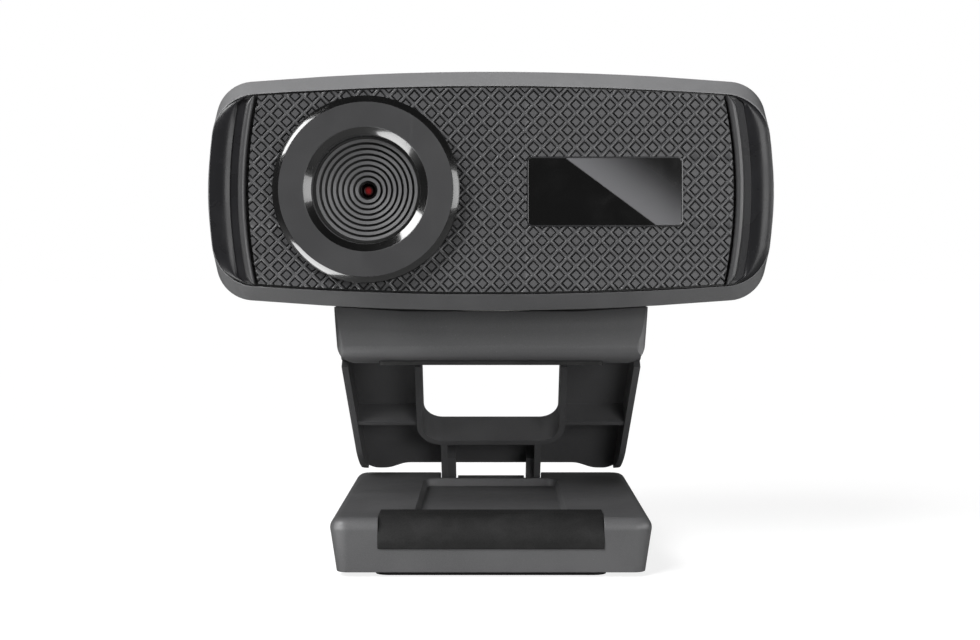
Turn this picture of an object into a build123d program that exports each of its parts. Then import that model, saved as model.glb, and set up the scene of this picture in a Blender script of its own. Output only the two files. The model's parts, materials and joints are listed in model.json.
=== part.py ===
from build123d import *
from math import cos, radians, sin, sqrt, tan
import os

# A webcam: a bar-shaped head on a swivel post, a jaw that the post stands on, a windowed leg
# hinged to the jaw, and a flat foot hinged to the leg.  Millimetres, +Z up, the lens looks
# along -Y.  The origin is the middle of the foot's sole.

# ---------------------------------------------------------------- fits and fasteners
running_fit = 0.05      # radial clearance of a part that turns or slides in a hole
fixed_fit = 0.02        # radial clearance of a pin or screw that stays put in its hole
side_gap = 0.3          # between faces that swing past each other
lid_gap = 0.1           # round a cover in its opening
screw_r = 0.8
screw_head_r = 1.5
screw_head_height = 0.9
boss_wall = 1.0
screw_hole_depth = 3.6  # beyond the cover that the screw holds
screw_reach = 3.2
screw_head_play = 0.05
pin_play = 0.1          # between a pin's end and the end of its bore
cut_past = 3.0          # how far a cutting shape runs past the face that it opens

# ---------------------------------------------------------------- foot
foot_width = 47.8
foot_length = 58.0
foot_height = 8.05
foot_corner = 3.0
foot_edge_round = 1.6
foot_draft = 8.8        # degrees
foot_wall = 1.6
foot_screw_inset_x = 3.0    # from the sole pad's edges
foot_screw_inset_y = 4.0
sole_stand = 0.75       # how far the sole pad stands below the foot
sole_inlay = 0.5
sole_side_margin = 6.85  # from the foot's outline to the sole pad
sole_end_margin = 3.4
sole_corner = 2.0
foot_cover_thickness = 1.8
foot_cover_corner = 2.0
scoop_width = 22.8
scoop_rear_margin = 10.4
scoop_depth = 1.3
scoop_corner = 2.5
scoop_draft = 20.0
well_wall = 1.4
well_setback = 0.9      # hinge well behind the scoop
nose_pad_width = 33.0
nose_pad_reach = 7.5    # along the foot's top
nose_pad_drop = 4.5     # down the foot's front
nose_pad_proud = 0.3
nose_pad_thickness = 1.3
nose_pad_round = 3.4
nose_recess_round = 1.0

# ---------------------------------------------------------------- leg and its two hinges
leg_lean = 38.0         # degrees from upright, towards the front
hinge_span = 35.0       # between the two hinge pins
foot_pin_inset = 3.0    # pin axis from the foot's rear edge
foot_pin_drop = 3.3     # pin axis below the foot's top
foot_pin_r = 1.0
foot_knuckle_r = 2.8
foot_barrel_r = 2.9
lug_inner = 6.1         # the lugs' inner and outer faces, from the middle
lug_outer = 8.5
lug_rib = 1.1
pin_bearing = 2.6       # length of pin held in each wall of the foot
pin_boss_wall = 1.6
pin_cap = 0.8           # wall past each end of the pin's bore
lug_root = 4.0          # how far a lug runs up the skin
lug_root_front = 1.2
lug_shoulder_rise = 1.6
lug_shoulder_drop = 0.6
leg_width_at_jaw = 49.4
leg_taper = 4.6         # degrees, each side
leg_depth_behind = 2.95  # skin's outer face behind the line between the pins
leg_depth_front = 3.0   # rims in front of that line
leg_skin = 1.0
leg_wall = 1.0
leg_lower_edge = 5.3    # from the foot pin up to the skin's lower edge
lobe_drop = 1.3
lobe_rise_length = 4.8  # sideways, from the middle's edge down to a lobe
lobe_setback = 3.45     # from the leg's side to the lobe's lowest stretch
leg_corner = 3.0
window_width = 22.9
window_foot = 15.3      # from the foot pin up to the window
window_corner = 3.2
crossbar_height = 1.8
crossbar_thickness = 2.45
tray_gap = 0.7          # between the leg's tray and the jaw's underside
rib_rise = 18.9
rib_thickness = 0.75
rib_step = 0.4          # ribs below the rims
rim_fade_start = 12.5   # where the side walls begin to sink into the skin
rim_fade_dip = 1.5

# ---------------------------------------------------------------- jaw
jaw_width = 47.6
jaw_height = 7.9
jaw_reach = 23.95       # from the hinge pin forward to the jaw's face
jaw_side_lean = 0.8
jaw_face_lean = 1.2
jaw_lip_height = 2.8
jaw_lip_round = 2.6
jaw_corner = 3.0
jaw_edge_round = 0.8
jaw_top_corner = 0.3
jaw_plan_round = 2.4    # of the front corners, seen from above
jaw_dish = 0.7          # how far the top rises at its sides, round the head's bowed underside
jaw_seat_r = 15.0       # flat part of the top, about the post
jaw_dish_run = 10.0
jaw_wall = 1.5
jaw_pin_r = 1.2
jaw_pin_rise = 2.4      # pin axis above the jaw's underside
ear_r = 3.2
ear_width = 3.6
ear_root = 1.2          # how far an ear runs down the tray
ear_root_front = 0.5    # ear's foot in front of the line between the pins
ear_inset = 0.3         # from the leg's side
jaw_pin_inset = 0.2     # pin's end inside the ear's face
jaw_cover_thickness = 1.5
jaw_cover_width = 38.0
jaw_cover_corner = 1.5
jaw_pocket_setback = 0.5    # behind the rounded lip
jaw_screw_inset_x = 4.5
jaw_screw_inset_y = 2.8
jaw_shoulder_lean = 0.6
grip_pad_width = 33.8
grip_pad_length = 15.0
grip_pad_proud = 0.2
grip_pad_inlay = 0.35
grip_pad_corner = 0.6
grip_pad_setback = 0.9

# ---------------------------------------------------------------- swivel
post_r = 3.0
post_flange_r = 4.6
post_flange_thickness = 1.4
post_setback = 8.0      # post axis behind the jaw's face
friction_disc_r = 6.0
spring_washer_r = 4.4
spring_washer_thickness = 0.7
post_screw_r = 1.3
post_screw_head_r = 2.4
post_screw_head_height = 1.5
head_gap = 0.4          # between the jaw's top and the head
post_stand = 1.2        # post above the inside of the housing's wall
post_hole_depth = 4.6
swivel_screw_length = 4.2
stack_gap = 0.02        # between the post, the spring washer and the screw's head
swivel_floor = 0.9      # flat floor inside the housing that the spring washer presses on
swivel_floor_wall = 1.0
swivel_floor_sink = 0.45

# ---------------------------------------------------------------- head shell
head_width = 83.0
head_height = 35.0
head_depth = 27.5
head_corner = 5.5
head_least_corner = 1.0
head_side_bow = 2.5     # how far the sides bulge between the corners
head_top_bow = 1.8
head_overhang = 20.0    # front panel in front of the post axis
housing_taper = 2.0     # degrees
housing_wall = 1.6
housing_rear_round = 3.5
surround_depth = 5.5
surround_slope = 3.5    # depth of its sloping face
surround_step = 0.1     # surround's front edge in front of the panel's step
surround_lip_fit = 0.2
panel_inset_side = 0.8
panel_inset_top = 2.5
panel_corner = 6.5
panel_side_bow = 1.45
panel_top_bow = 1.6
panel_thickness = 1.5
panel_step = 1.6        # height of the textured field above the plate
texture_height = 0.5
texture_end_margin = 6.6    # from the head's side to the textured field
field_end_radius = 65.0 # the field's ends bulge outwards
texture_groove = 0.5    # between the field and the end caps
texture_margin = 0.3    # between the field and the surround
cap_round = 0.5
cap_rise = 0.1          # end caps in front of the texture's floor
panel_fit = 0.08
badge_width = 22.5
badge_height = 10.1
badge_corner = 0.8
badge_thickness = 1.2
badge_proud = 0.56
badge_x = 16.4
badge_z = -0.25

# ---------------------------------------------------------------- focus ring and lens
lens_x = -17.85
ring_r = 13.4
ring_face_r = 12.5
ring_stand = 3.0        # ring face in front of the textured field
ring_bevel = 1.75
ring_mouth_r = 8.9
ring_throat_r = 7.9
ring_throat_depth = 1.5
ring_lip = 2.55         # depth of the lip that the baffle rests on
ring_undercut = 0.4
hub_r = 10.6
baffle_r = 8.5
baffle_cone_r = 7.3
baffle_rim_depth = 2.8  # the cone's edge and its middle behind the ring's face
baffle_eye_depth = 5.3
baffle_thickness = 0.8
baffle_eye_r = 1.05
baffle_grooves = 8
baffle_groove_depth = 0.28
baffle_ridge_share = 0.55   # of the grooves' pitch
baffle_flank_share = 0.25
baffle_rim = 0.1
baffle_step = 1.6
baffle_collar = 2.4     # width of the thick part round the cone
retainer_r = 11.5
retainer_thickness = 0.8
retainer_overlap = 1.2  # bore of the retainer outside the baffle
barrel_r = 3.5
barrel_length = 5.6
barrel_gap = 0.45       # between the baffle and the barrel
barrel_bore_r = 2.6
eye_glass_r = 1.35
eye_glass_rise = 0.2    # low dome on the first element
eye_glass_draft = 35.0
eye_glass_seat = 0.5
element_gap = 0.4
element_lip = 0.1
element_thickness = 1.1
spacer_length = 0.7
barrel_ring_length = 0.6
barrel_ring_width = 0.9
spacer_width = 0.8
holder_wall = 1.25
holder_base = 14.0
holder_base_thickness = 1.5
holder_setback = 1.0    # holder's rim behind the barrel's
holder_screw_r = 0.6
holder_screw_head_r = 1.1
holder_screw_head_height = 0.7
holder_screw_inset = 2.0
filter_ledge = 0.4
filter_ledge_reach = 0.6
filter_fit = 0.05
filter_size = 6.0
filter_thickness = 0.3
sensor_size = 5.6
sensor_thickness = 0.9
sensor_gap = 0.3        # from sensor to filter, and from filter to barrel at rest

# ---------------------------------------------------------------- board and what is on it
board_width = 61.5
board_height = 21.0
board_thickness = 1.0
board_corner = 1.0
board_screw_inset = 2.0
board_boss_r = 1.9
housing_screw_inset_x = 7.9 # from the head's widest and highest points
housing_screw_inset_z = 8.1
housing_boss_length = 6.5
housing_boss_wall = 1.2
panel_boss_wall = 1.3       # of the front panel's bosses that meet them
housing_screw_reach = 4.2
housing_screw_sink = 0.2    # head below the housing's back
boss_gap = 0.05         # between bosses that meet end to end
board_margin = 6.0      # board past the lens holder
board_hole_depth = 4.4
board_screw_reach = 3.8
panel_hole_depth = 5.0
controller_size = 7.0
controller_thickness = 0.9
controller_x = 12.0
memory_x = 22.0
memory_z = -2.0
memory_width = 4.0
memory_height = 5.0
memory_thickness = 0.9
crystal_x = -4.0
crystal_z = 4.0
crystal_width = 6.0
crystal_height = 2.6
crystal_thickness = 1.8
header_x = -3.0
header_z = 3.0
header_width = 7.0
header_height = 4.0
header_depth = 4.0
header_wall = 0.7
header_floor = 0.8
microphone_r = 3.0
microphone_height = 2.2
microphone_x = 25.0
microphone_port_r = 0.6
microphone_setback = 5.5    # behind the surround
microphone_gap = 1.3        # below the inside of the housing's wall
boot_wall = 0.8
cable_r = 1.9
gland_neck_r = 3.1
gland_flange_r = 4.4
gland_flange = 1.0
gland_nose = 1.6
gland_step = 0.4
gland_draft = 12.0

# ---------------------------------------------------------------- places worked out from the sizes
sole_width = foot_width - 2 * sole_side_margin
sole_length = foot_length - 2 * sole_end_margin
housing_screw_x = head_width / 2 - housing_screw_inset_x
housing_screw_z = head_height / 2 - housing_screw_inset_z
lean = radians(leg_lean)
foot_bottom = sole_stand
foot_top = foot_bottom + foot_height
foot_front = -foot_length / 2
foot_pin_y = foot_length / 2 - foot_pin_inset
foot_pin_z = foot_top - foot_pin_drop
jaw_pin_y = foot_pin_y - hinge_span * sin(lean)
jaw_pin_z = foot_pin_z + hinge_span * cos(lean)
jaw_bottom = jaw_pin_z - jaw_pin_rise
jaw_top = jaw_bottom + jaw_height
jaw_front = jaw_pin_y - jaw_reach
post_y = jaw_front + post_setback
head_bottom = jaw_top + head_gap
head_z = head_bottom + head_height / 2
field_face = post_y - head_overhang             # tops of the texture
panel_face = field_face + texture_height        # floor of the texture
plate_face = field_face + panel_step            # step that the end caps sit on
plate_back = plate_face + panel_thickness
surround_front = plate_face - surround_step
surround_widest = surround_front + surround_slope
surround_back = surround_front + surround_depth
head_back = field_face + head_depth
ring_face = field_face - ring_stand

# the textured field's ends and the end caps' inner edges
field_end = head_width / 2 - texture_end_margin
cap_start = field_end + texture_groove

leg_plane = Plane(origin=(0, foot_pin_y, foot_pin_z), x_dir=(1, 0, 0), z_dir=(0, -cos(lean), -sin(lean)))
leg_side = Plane(origin=(0, foot_pin_y, foot_pin_z), x_dir=(0, -sin(lean), cos(lean)), z_dir=(1, 0, 0))
lens_axis = Axis((lens_x, 0, head_z), (0, -1, 0))


def head_plane(y):
    """A plane facing the viewer, centred on the head, at depth y."""
    return Plane(origin=(0, y, head_z), x_dir=(1, 0, 0), z_dir=(0, -1, 0))


def lens_plane(y):
    """A plane facing the viewer, centred on the lens, at depth y."""
    return Plane(origin=(lens_x, y, head_z), x_dir=(1, 0, 0), z_dir=(0, -1, 0))


def level(z):
    """A horizontal plane at height z."""
    return Plane.XY.offset(z)


def bowed_outline(width, height, side_bow, top_bow, corner):
    """A rectangle with four bulging sides and rounded corners."""
    x = width / 2 - side_bow
    y = height / 2 - top_bow
    with BuildSketch() as outline:
        with BuildLine():
            ThreePointArc((-x, y), (0, height / 2), (x, y))
            ThreePointArc((x, y), (width / 2, 0), (x, -y))
            ThreePointArc((x, -y), (0, -height / 2), (-x, -y))
            ThreePointArc((-x, -y), (-width / 2, 0), (-x, y))
        make_face()
        fillet(outline.vertices(), corner)
    return outline.sketch


def head_outline(inset=0.0):
    """The head's outer outline, moved inwards by inset."""
    return bowed_outline(head_width - 2 * inset, head_height - 2 * inset,
                         head_side_bow, head_top_bow, max(head_corner - inset, head_least_corner))


def panel_outline(inset=0.0):
    """The front panel's outline, moved inwards by inset."""
    return bowed_outline(head_width - 2 * (panel_inset_side + inset),
                         head_height - 2 * (panel_inset_top + inset),
                         panel_side_bow, panel_top_bow, panel_corner - inset)


def field_outline(half_width):
    """The middle part of the panel between two bulging ends."""
    tall = head_height / 2
    end_x = half_width - field_end_radius + sqrt(field_end_radius**2 - tall**2)
    with BuildSketch() as outline:
        with BuildLine():
            ThreePointArc((end_x, tall), (half_width, 0), (end_x, -tall))
            Line((end_x, -tall), (-end_x, -tall))
            ThreePointArc((-end_x, -tall), (-half_width, 0), (-end_x, tall))
            Line((-end_x, tall), (end_x, tall))
        make_face()
    return outline.sketch


# ================================================================ foot
foot_cover_x = foot_width / 2 - foot_height * tan(radians(foot_draft)) - foot_wall
foot_cover_y = foot_length / 2 - foot_height * tan(radians(foot_draft)) - foot_wall
well_half = lug_outer + side_gap
well_front = foot_length / 2 - scoop_rear_margin + well_setback
pin_boss_half = well_half + pin_bearing
foot_screw_x = sole_width / 2 - foot_screw_inset_x
foot_screw_y = sole_length / 2 - foot_screw_inset_y
foot_screw_seat = foot_bottom + sole_inlay + screw_head_height
foot_screw_places = [(x, y) for x in (-foot_screw_x, foot_screw_x) for y in (-foot_screw_y, foot_screw_y)]
nose_slope = tan(radians(foot_draft))

nose_top = foot_top + nose_pad_proud
nose_low = foot_top - nose_pad_drop
nose_rear = foot_front + nose_pad_reach
nose_face = foot_front - nose_pad_proud
nose_face_low = nose_face + nose_pad_drop * nose_slope
nose_core = (nose_face + nose_pad_thickness, nose_top - nose_pad_thickness)


def nose_profile(front_y, front_y_low, top, round_r):
    """The front pad's section, or the room in front of its core, in the YZ plane."""
    with BuildSketch() as profile:
        with BuildLine():
            Polyline(
                (nose_rear, nose_core[1]), (nose_rear, top), (front_y, top), (front_y_low, nose_low),
                (nose_face_low + nose_pad_thickness, nose_low), nose_core, close=True,
            )
        make_face()
        fillet(profile.vertices().sort_by_distance((front_y, top))[0], round_r)
        fillet(profile.vertices().sort_by_distance(nose_core)[0], nose_pad_round - nose_pad_thickness)
    return profile.sketch


with BuildPart() as foot_front_pad:
    with BuildSketch(Plane.YZ):
        add(nose_profile(nose_face, nose_face_low, nose_top, nose_pad_round))
    extrude(amount=nose_pad_width / 2, both=True)

with BuildPart() as foot_base_pad:
    with BuildSketch(level(0)):
        RectangleRounded(sole_width, sole_length, sole_corner)
    extrude(amount=sole_stand + sole_inlay)

with BuildPart() as foot_shell:
    with BuildSketch(Plane(origin=(0, 0, foot_top), x_dir=(1, 0, 0), z_dir=(0, 0, -1))):
        RectangleRounded(foot_width, foot_length, foot_corner)
    extrude(amount=foot_height, taper=foot_draft)
    fillet(foot_shell.faces().sort_by(Axis.Z)[-1].edges(), foot_edge_round)
    # hollow from below
    with BuildSketch(level(foot_bottom)):
        RectangleRounded(2 * foot_cover_x, 2 * foot_cover_y, foot_cover_corner)
    extrude(amount=foot_height - foot_wall - scoop_depth, mode=Mode.SUBTRACT)
    # walls of the hinge well and bosses for the pin and the cover screws
    with BuildSketch(level(foot_bottom + foot_cover_thickness)):
        with Locations((0, well_front - well_wall)):
            Rectangle(2 * (well_half + well_wall), foot_cover_y - well_front + well_wall + lid_gap,
                      align=(Align.CENTER, Align.MIN))
        with Locations((0, foot_pin_y)):
            Rectangle(2 * pin_boss_half, 2 * (foot_pin_r + pin_boss_wall))
        with Locations(*foot_screw_places):
            Circle(screw_r + boss_wall)
    extrude(amount=foot_top - scoop_depth - foot_bottom - foot_cover_thickness)
    # the well itself, open at the top and the rear
    with BuildSketch(level(foot_bottom + foot_cover_thickness)):
        with Locations((0, well_front)):
            Rectangle(2 * well_half, foot_length, align=(Align.CENTER, Align.MIN))
    extrude(amount=foot_height, mode=Mode.SUBTRACT)
    # middle barrel on a web
    with BuildSketch(Plane.YZ):
        with Locations((foot_pin_y, foot_pin_z)):
            Circle(foot_barrel_r)
        with Locations((well_front - lid_gap, foot_pin_z)):
            Rectangle(foot_pin_y - well_front, foot_barrel_r - lid_gap, align=(Align.MIN, Align.MAX))
    extrude(amount=lug_inner - side_gap, both=True)
    # shallow scoop in the top
    with BuildSketch(Plane(origin=(0, 0, foot_top), x_dir=(1, 0, 0), z_dir=(0, 0, -1))):
        scoop_rear = foot_length / 2 - scoop_rear_margin
        scoop_front = foot_front + nose_pad_reach - scoop_corner
        with Locations((0, -(scoop_rear + scoop_front) / 2)):
            RectangleRounded(scoop_width, scoop_rear - scoop_front, scoop_corner)
    extrude(amount=scoop_depth, taper=scoop_draft, mode=Mode.SUBTRACT)
    with BuildSketch(Plane.YZ):
        add(nose_profile(nose_face - cut_past, nose_face - cut_past, nose_top + cut_past,
                         nose_recess_round))
    extrude(amount=nose_pad_width / 2, both=True, mode=Mode.SUBTRACT)
    # pin bore and screw holes
    with BuildSketch(Plane.YZ):
        with Locations((foot_pin_y, foot_pin_z)):
            Circle(foot_pin_r + fixed_fit)
    extrude(amount=pin_boss_half - pin_cap, both=True, mode=Mode.SUBTRACT)
    with BuildSketch(level(foot_bottom)):
        with Locations(*foot_screw_places):
            Circle(screw_r + fixed_fit)
    extrude(amount=foot_cover_thickness + screw_hole_depth, mode=Mode.SUBTRACT)

with BuildPart() as foot_cover:
    with BuildSketch(level(foot_bottom)):
        RectangleRounded(2 * (foot_cover_x - lid_gap), 2 * (foot_cover_y - lid_gap), foot_cover_corner)
    extrude(amount=foot_cover_thickness)
    add(foot_base_pad.part, mode=Mode.SUBTRACT)
    with BuildSketch(level(foot_bottom)):
        with Locations(*foot_screw_places):
            Circle(screw_r + 2 * fixed_fit)
    extrude(amount=foot_cover_thickness, mode=Mode.SUBTRACT)
    with BuildSketch(level(foot_bottom)):
        with Locations(*foot_screw_places):
            Circle(screw_head_r + lid_gap)
    extrude(amount=foot_screw_seat - foot_bottom, mode=Mode.SUBTRACT)

with BuildPart() as foot_screws:
    with BuildSketch(level(foot_screw_seat)):
        with Locations(*foot_screw_places):
            Circle(screw_head_r)
    extrude(amount=screw_head_play - screw_head_height)
    with BuildSketch(level(foot_screw_seat)):
        with Locations(*foot_screw_places):
            Circle(screw_r)
    extrude(amount=foot_bottom + foot_cover_thickness + screw_reach - foot_screw_seat)

with BuildPart() as foot_hinge_pin:
    with BuildSketch(Plane.YZ):
        with Locations((foot_pin_y, foot_pin_z)):
            Circle(foot_pin_r)
    extrude(amount=pin_boss_half - pin_cap - pin_play, both=True)

# ================================================================ leg
leg_top = hinge_span - jaw_pin_rise - tray_gap
half_at_jaw = leg_width_at_jaw / 2
taper_rate = tan(radians(leg_taper))
skin_plane = leg_plane.offset(-leg_depth_behind)
lobe_bottom = leg_lower_edge - lobe_drop
window_half = window_width / 2
ear_outer = half_at_jaw - ear_inset
ear_inner = ear_outer - ear_width


def leg_half_width(s):
    """Half the leg's width at a distance s above the foot pin."""
    return half_at_jaw - (hinge_span - s) * taper_rate


def leg_outline(inset=0.0):
    """The leg seen from the front, with two low lobes.  An inset narrows it and runs it past both ends."""
    corner_x = leg_half_width(lobe_bottom) - inset
    top_x = leg_half_width(leg_top) - inset
    lobe_outer = leg_half_width(lobe_bottom) - lobe_setback
    lobe_inner = lobe_outer - lobe_rise_length
    with BuildSketch() as outline:
        with BuildLine():
            Line((0, leg_lower_edge - inset), (lobe_inner, leg_lower_edge - inset))
            Spline((lobe_inner, leg_lower_edge - inset), (lobe_outer, lobe_bottom - inset),
                   tangents=[(1, 0), (1, 0)])
            Line((lobe_outer, lobe_bottom - inset), (corner_x, lobe_bottom - inset))
            Line((corner_x, lobe_bottom - inset), (top_x, leg_top + inset))
            Line((top_x, leg_top + inset), (0, leg_top + inset))
            Line((0, leg_top + inset), (0, leg_lower_edge - inset))
        make_face()
        corner = outline.vertices().sort_by_distance((corner_x, lobe_bottom - inset))[0]
        fillet(corner, leg_corner - inset)
        mirror(about=Plane.YZ)
    return outline.sketch


with BuildPart() as leg_frame:
    # skin and side walls
    with BuildSketch(skin_plane):
        add(leg_outline())
    extrude(amount=leg_depth_behind + leg_depth_front)
    with BuildSketch(skin_plane.offset(leg_skin)):
        add(leg_outline(leg_wall))
    extrude(amount=leg_depth_behind + leg_depth_front, mode=Mode.SUBTRACT)
    # window wall and cross ribs
    with BuildSketch(skin_plane):
        with Locations((0, window_foot - leg_wall)):
            RectangleRounded(window_width + 2 * leg_wall, 2 * (leg_top - window_foot),
                             window_corner + leg_wall, align=(Align.CENTER, Align.MIN))
        with Locations((0, leg_top)):
            Rectangle(leg_width_at_jaw, leg_top, align=(Align.CENTER, Align.MIN), mode=Mode.SUBTRACT)
    extrude(amount=leg_depth_behind + leg_depth_front)
    with BuildSketch(skin_plane):
        for side in (-1, 1):
            with Locations((side * window_half, rib_rise)):
                Rectangle(leg_half_width(rib_rise) - window_half - leg_wall / 2, rib_thickness,
                          align=(Align.MIN if side > 0 else Align.MAX, Align.CENTER))
    extrude(amount=leg_depth_behind + leg_depth_front - rib_step)
    # the window, closed at the top by a low crossbar
    with BuildSketch(skin_plane):
        with Locations((0, window_foot)):
            RectangleRounded(window_width, 2 * (leg_top - window_foot), window_corner,
                             align=(Align.CENTER, Align.MIN))
        with Locations((0, leg_top)):
            Rectangle(leg_width_at_jaw, leg_top, align=(Align.CENTER, Align.MIN), mode=Mode.SUBTRACT)
    extrude(amount=leg_depth_behind + leg_depth_front, mode=Mode.SUBTRACT)
    with BuildSketch(skin_plane):
        with Locations((0, leg_top)):
            Rectangle(window_width + leg_wall, crossbar_height, align=(Align.CENTER, Align.MAX))
    extrude(amount=crossbar_thickness)
    # the rims sink into the skin towards the lower edge
    with BuildSketch(leg_side):
        with BuildLine():
            Polyline((rim_fade_start, leg_depth_front), (leg_top + 1, leg_depth_front),
                     (leg_top + 1, -leg_depth_behind), (0, -leg_depth_behind),
                     (0, leg_skin - leg_depth_behind), (lobe_bottom, leg_skin - leg_depth_behind))
            ThreePointArc((lobe_bottom, leg_skin - leg_depth_behind),
                          ((rim_fade_start + lobe_bottom) / 2, leg_depth_front - rim_fade_dip),
                          (rim_fade_start, leg_depth_front))
        make_face()
    extrude(amount=head_width, both=True, mode=Mode.INTERSECT)
    # lugs that stand in the foot
    for side in (-1, 1):
        with BuildSketch(leg_side.offset(side * (lug_inner + lug_outer) / 2)):
            Circle(foot_knuckle_r)
            with BuildLine():
                Polyline((0, -foot_knuckle_r), (leg_lower_edge, -foot_knuckle_r),
                         (leg_lower_edge + lug_root, leg_skin - leg_depth_behind),
                         (leg_lower_edge + lug_root, lug_root_front),
                         (lug_shoulder_rise, foot_knuckle_r - lug_shoulder_drop),
                         (0, foot_knuckle_r), close=True)
            make_face()
        extrude(amount=(lug_outer - lug_inner) / 2, both=True)
        with BuildSketch(leg_side.offset(side * (lug_outer - lug_rib / 2))):
            with BuildLine():
                Polyline((lug_shoulder_rise, foot_knuckle_r - lug_shoulder_drop),
                         (window_foot - leg_wall / 2, leg_depth_front),
                         (window_foot - leg_wall / 2, leg_skin / 2 - leg_depth_behind),
                         (leg_lower_edge + side_gap, leg_skin / 2 - leg_depth_behind),
                         (lug_shoulder_rise, 0), close=True)
            make_face()
        extrude(amount=lug_rib / 2, both=True)
        # ears round the jaw's pin
        with BuildSketch(leg_side.offset(side * (ear_inner + ear_outer) / 2)):
            with Locations((hinge_span, 0)):
                Circle(ear_r)
            with BuildLine():
                Polyline((leg_top - ear_root, -leg_depth_behind), (leg_top - ear_root, ear_root_front),
                         (hinge_span, ear_r), (hinge_span, -ear_r), close=True)
            make_face()
        extrude(amount=ear_width / 2, both=True)
    # pin bores
    with BuildSketch(leg_side):
        Circle(foot_pin_r + running_fit)
        with Locations((hinge_span, 0)):
            Circle(jaw_pin_r + fixed_fit)
    extrude(amount=head_width, both=True, mode=Mode.SUBTRACT)

with BuildPart() as jaw_hinge_pin:
    with BuildSketch(leg_side):
        with Locations((hinge_span, 0)):
            Circle(jaw_pin_r)
    extrude(amount=ear_outer - jaw_pin_inset, both=True)

# ================================================================ jaw
jaw_half = jaw_width / 2
jaw_rim = jaw_top + jaw_dish
jaw_barrel_r = jaw_pin_rise
jaw_shoulder_y = jaw_pin_y - ear_r - side_gap
jaw_barrel_half = ear_inner - side_gap
jaw_pocket_front = jaw_front + jaw_lip_round + jaw_pocket_setback
jaw_pocket_rear = jaw_shoulder_y - jaw_wall
jaw_pocket_top = jaw_top - jaw_wall
jaw_cover_y = (jaw_pocket_front + jaw_pocket_rear) / 2
jaw_cover_length = jaw_pocket_rear - jaw_pocket_front
grip_pad_y = jaw_front + grip_pad_setback + grip_pad_length / 2
jaw_screw_x = jaw_cover_width / 2 - jaw_screw_inset_x
jaw_screw_y = jaw_cover_length / 2 - jaw_screw_inset_y
jaw_screw_seat = jaw_bottom + grip_pad_inlay + screw_head_height
jaw_screw_places = [(x, jaw_cover_y + y) for x in (-jaw_screw_x, jaw_screw_x)
                    for y in (-jaw_screw_y, jaw_screw_y)]
post_top = head_bottom + housing_wall + post_stand
swivel_screw_seat = post_top + 2 * stack_gap + spring_washer_thickness

with BuildPart() as jaw_pad:
    with BuildSketch(level(jaw_bottom - grip_pad_proud)):
        with Locations((0, grip_pad_y)):
            RectangleRounded(grip_pad_width, grip_pad_length, grip_pad_corner)
    extrude(amount=grip_pad_proud + grip_pad_inlay)

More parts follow.
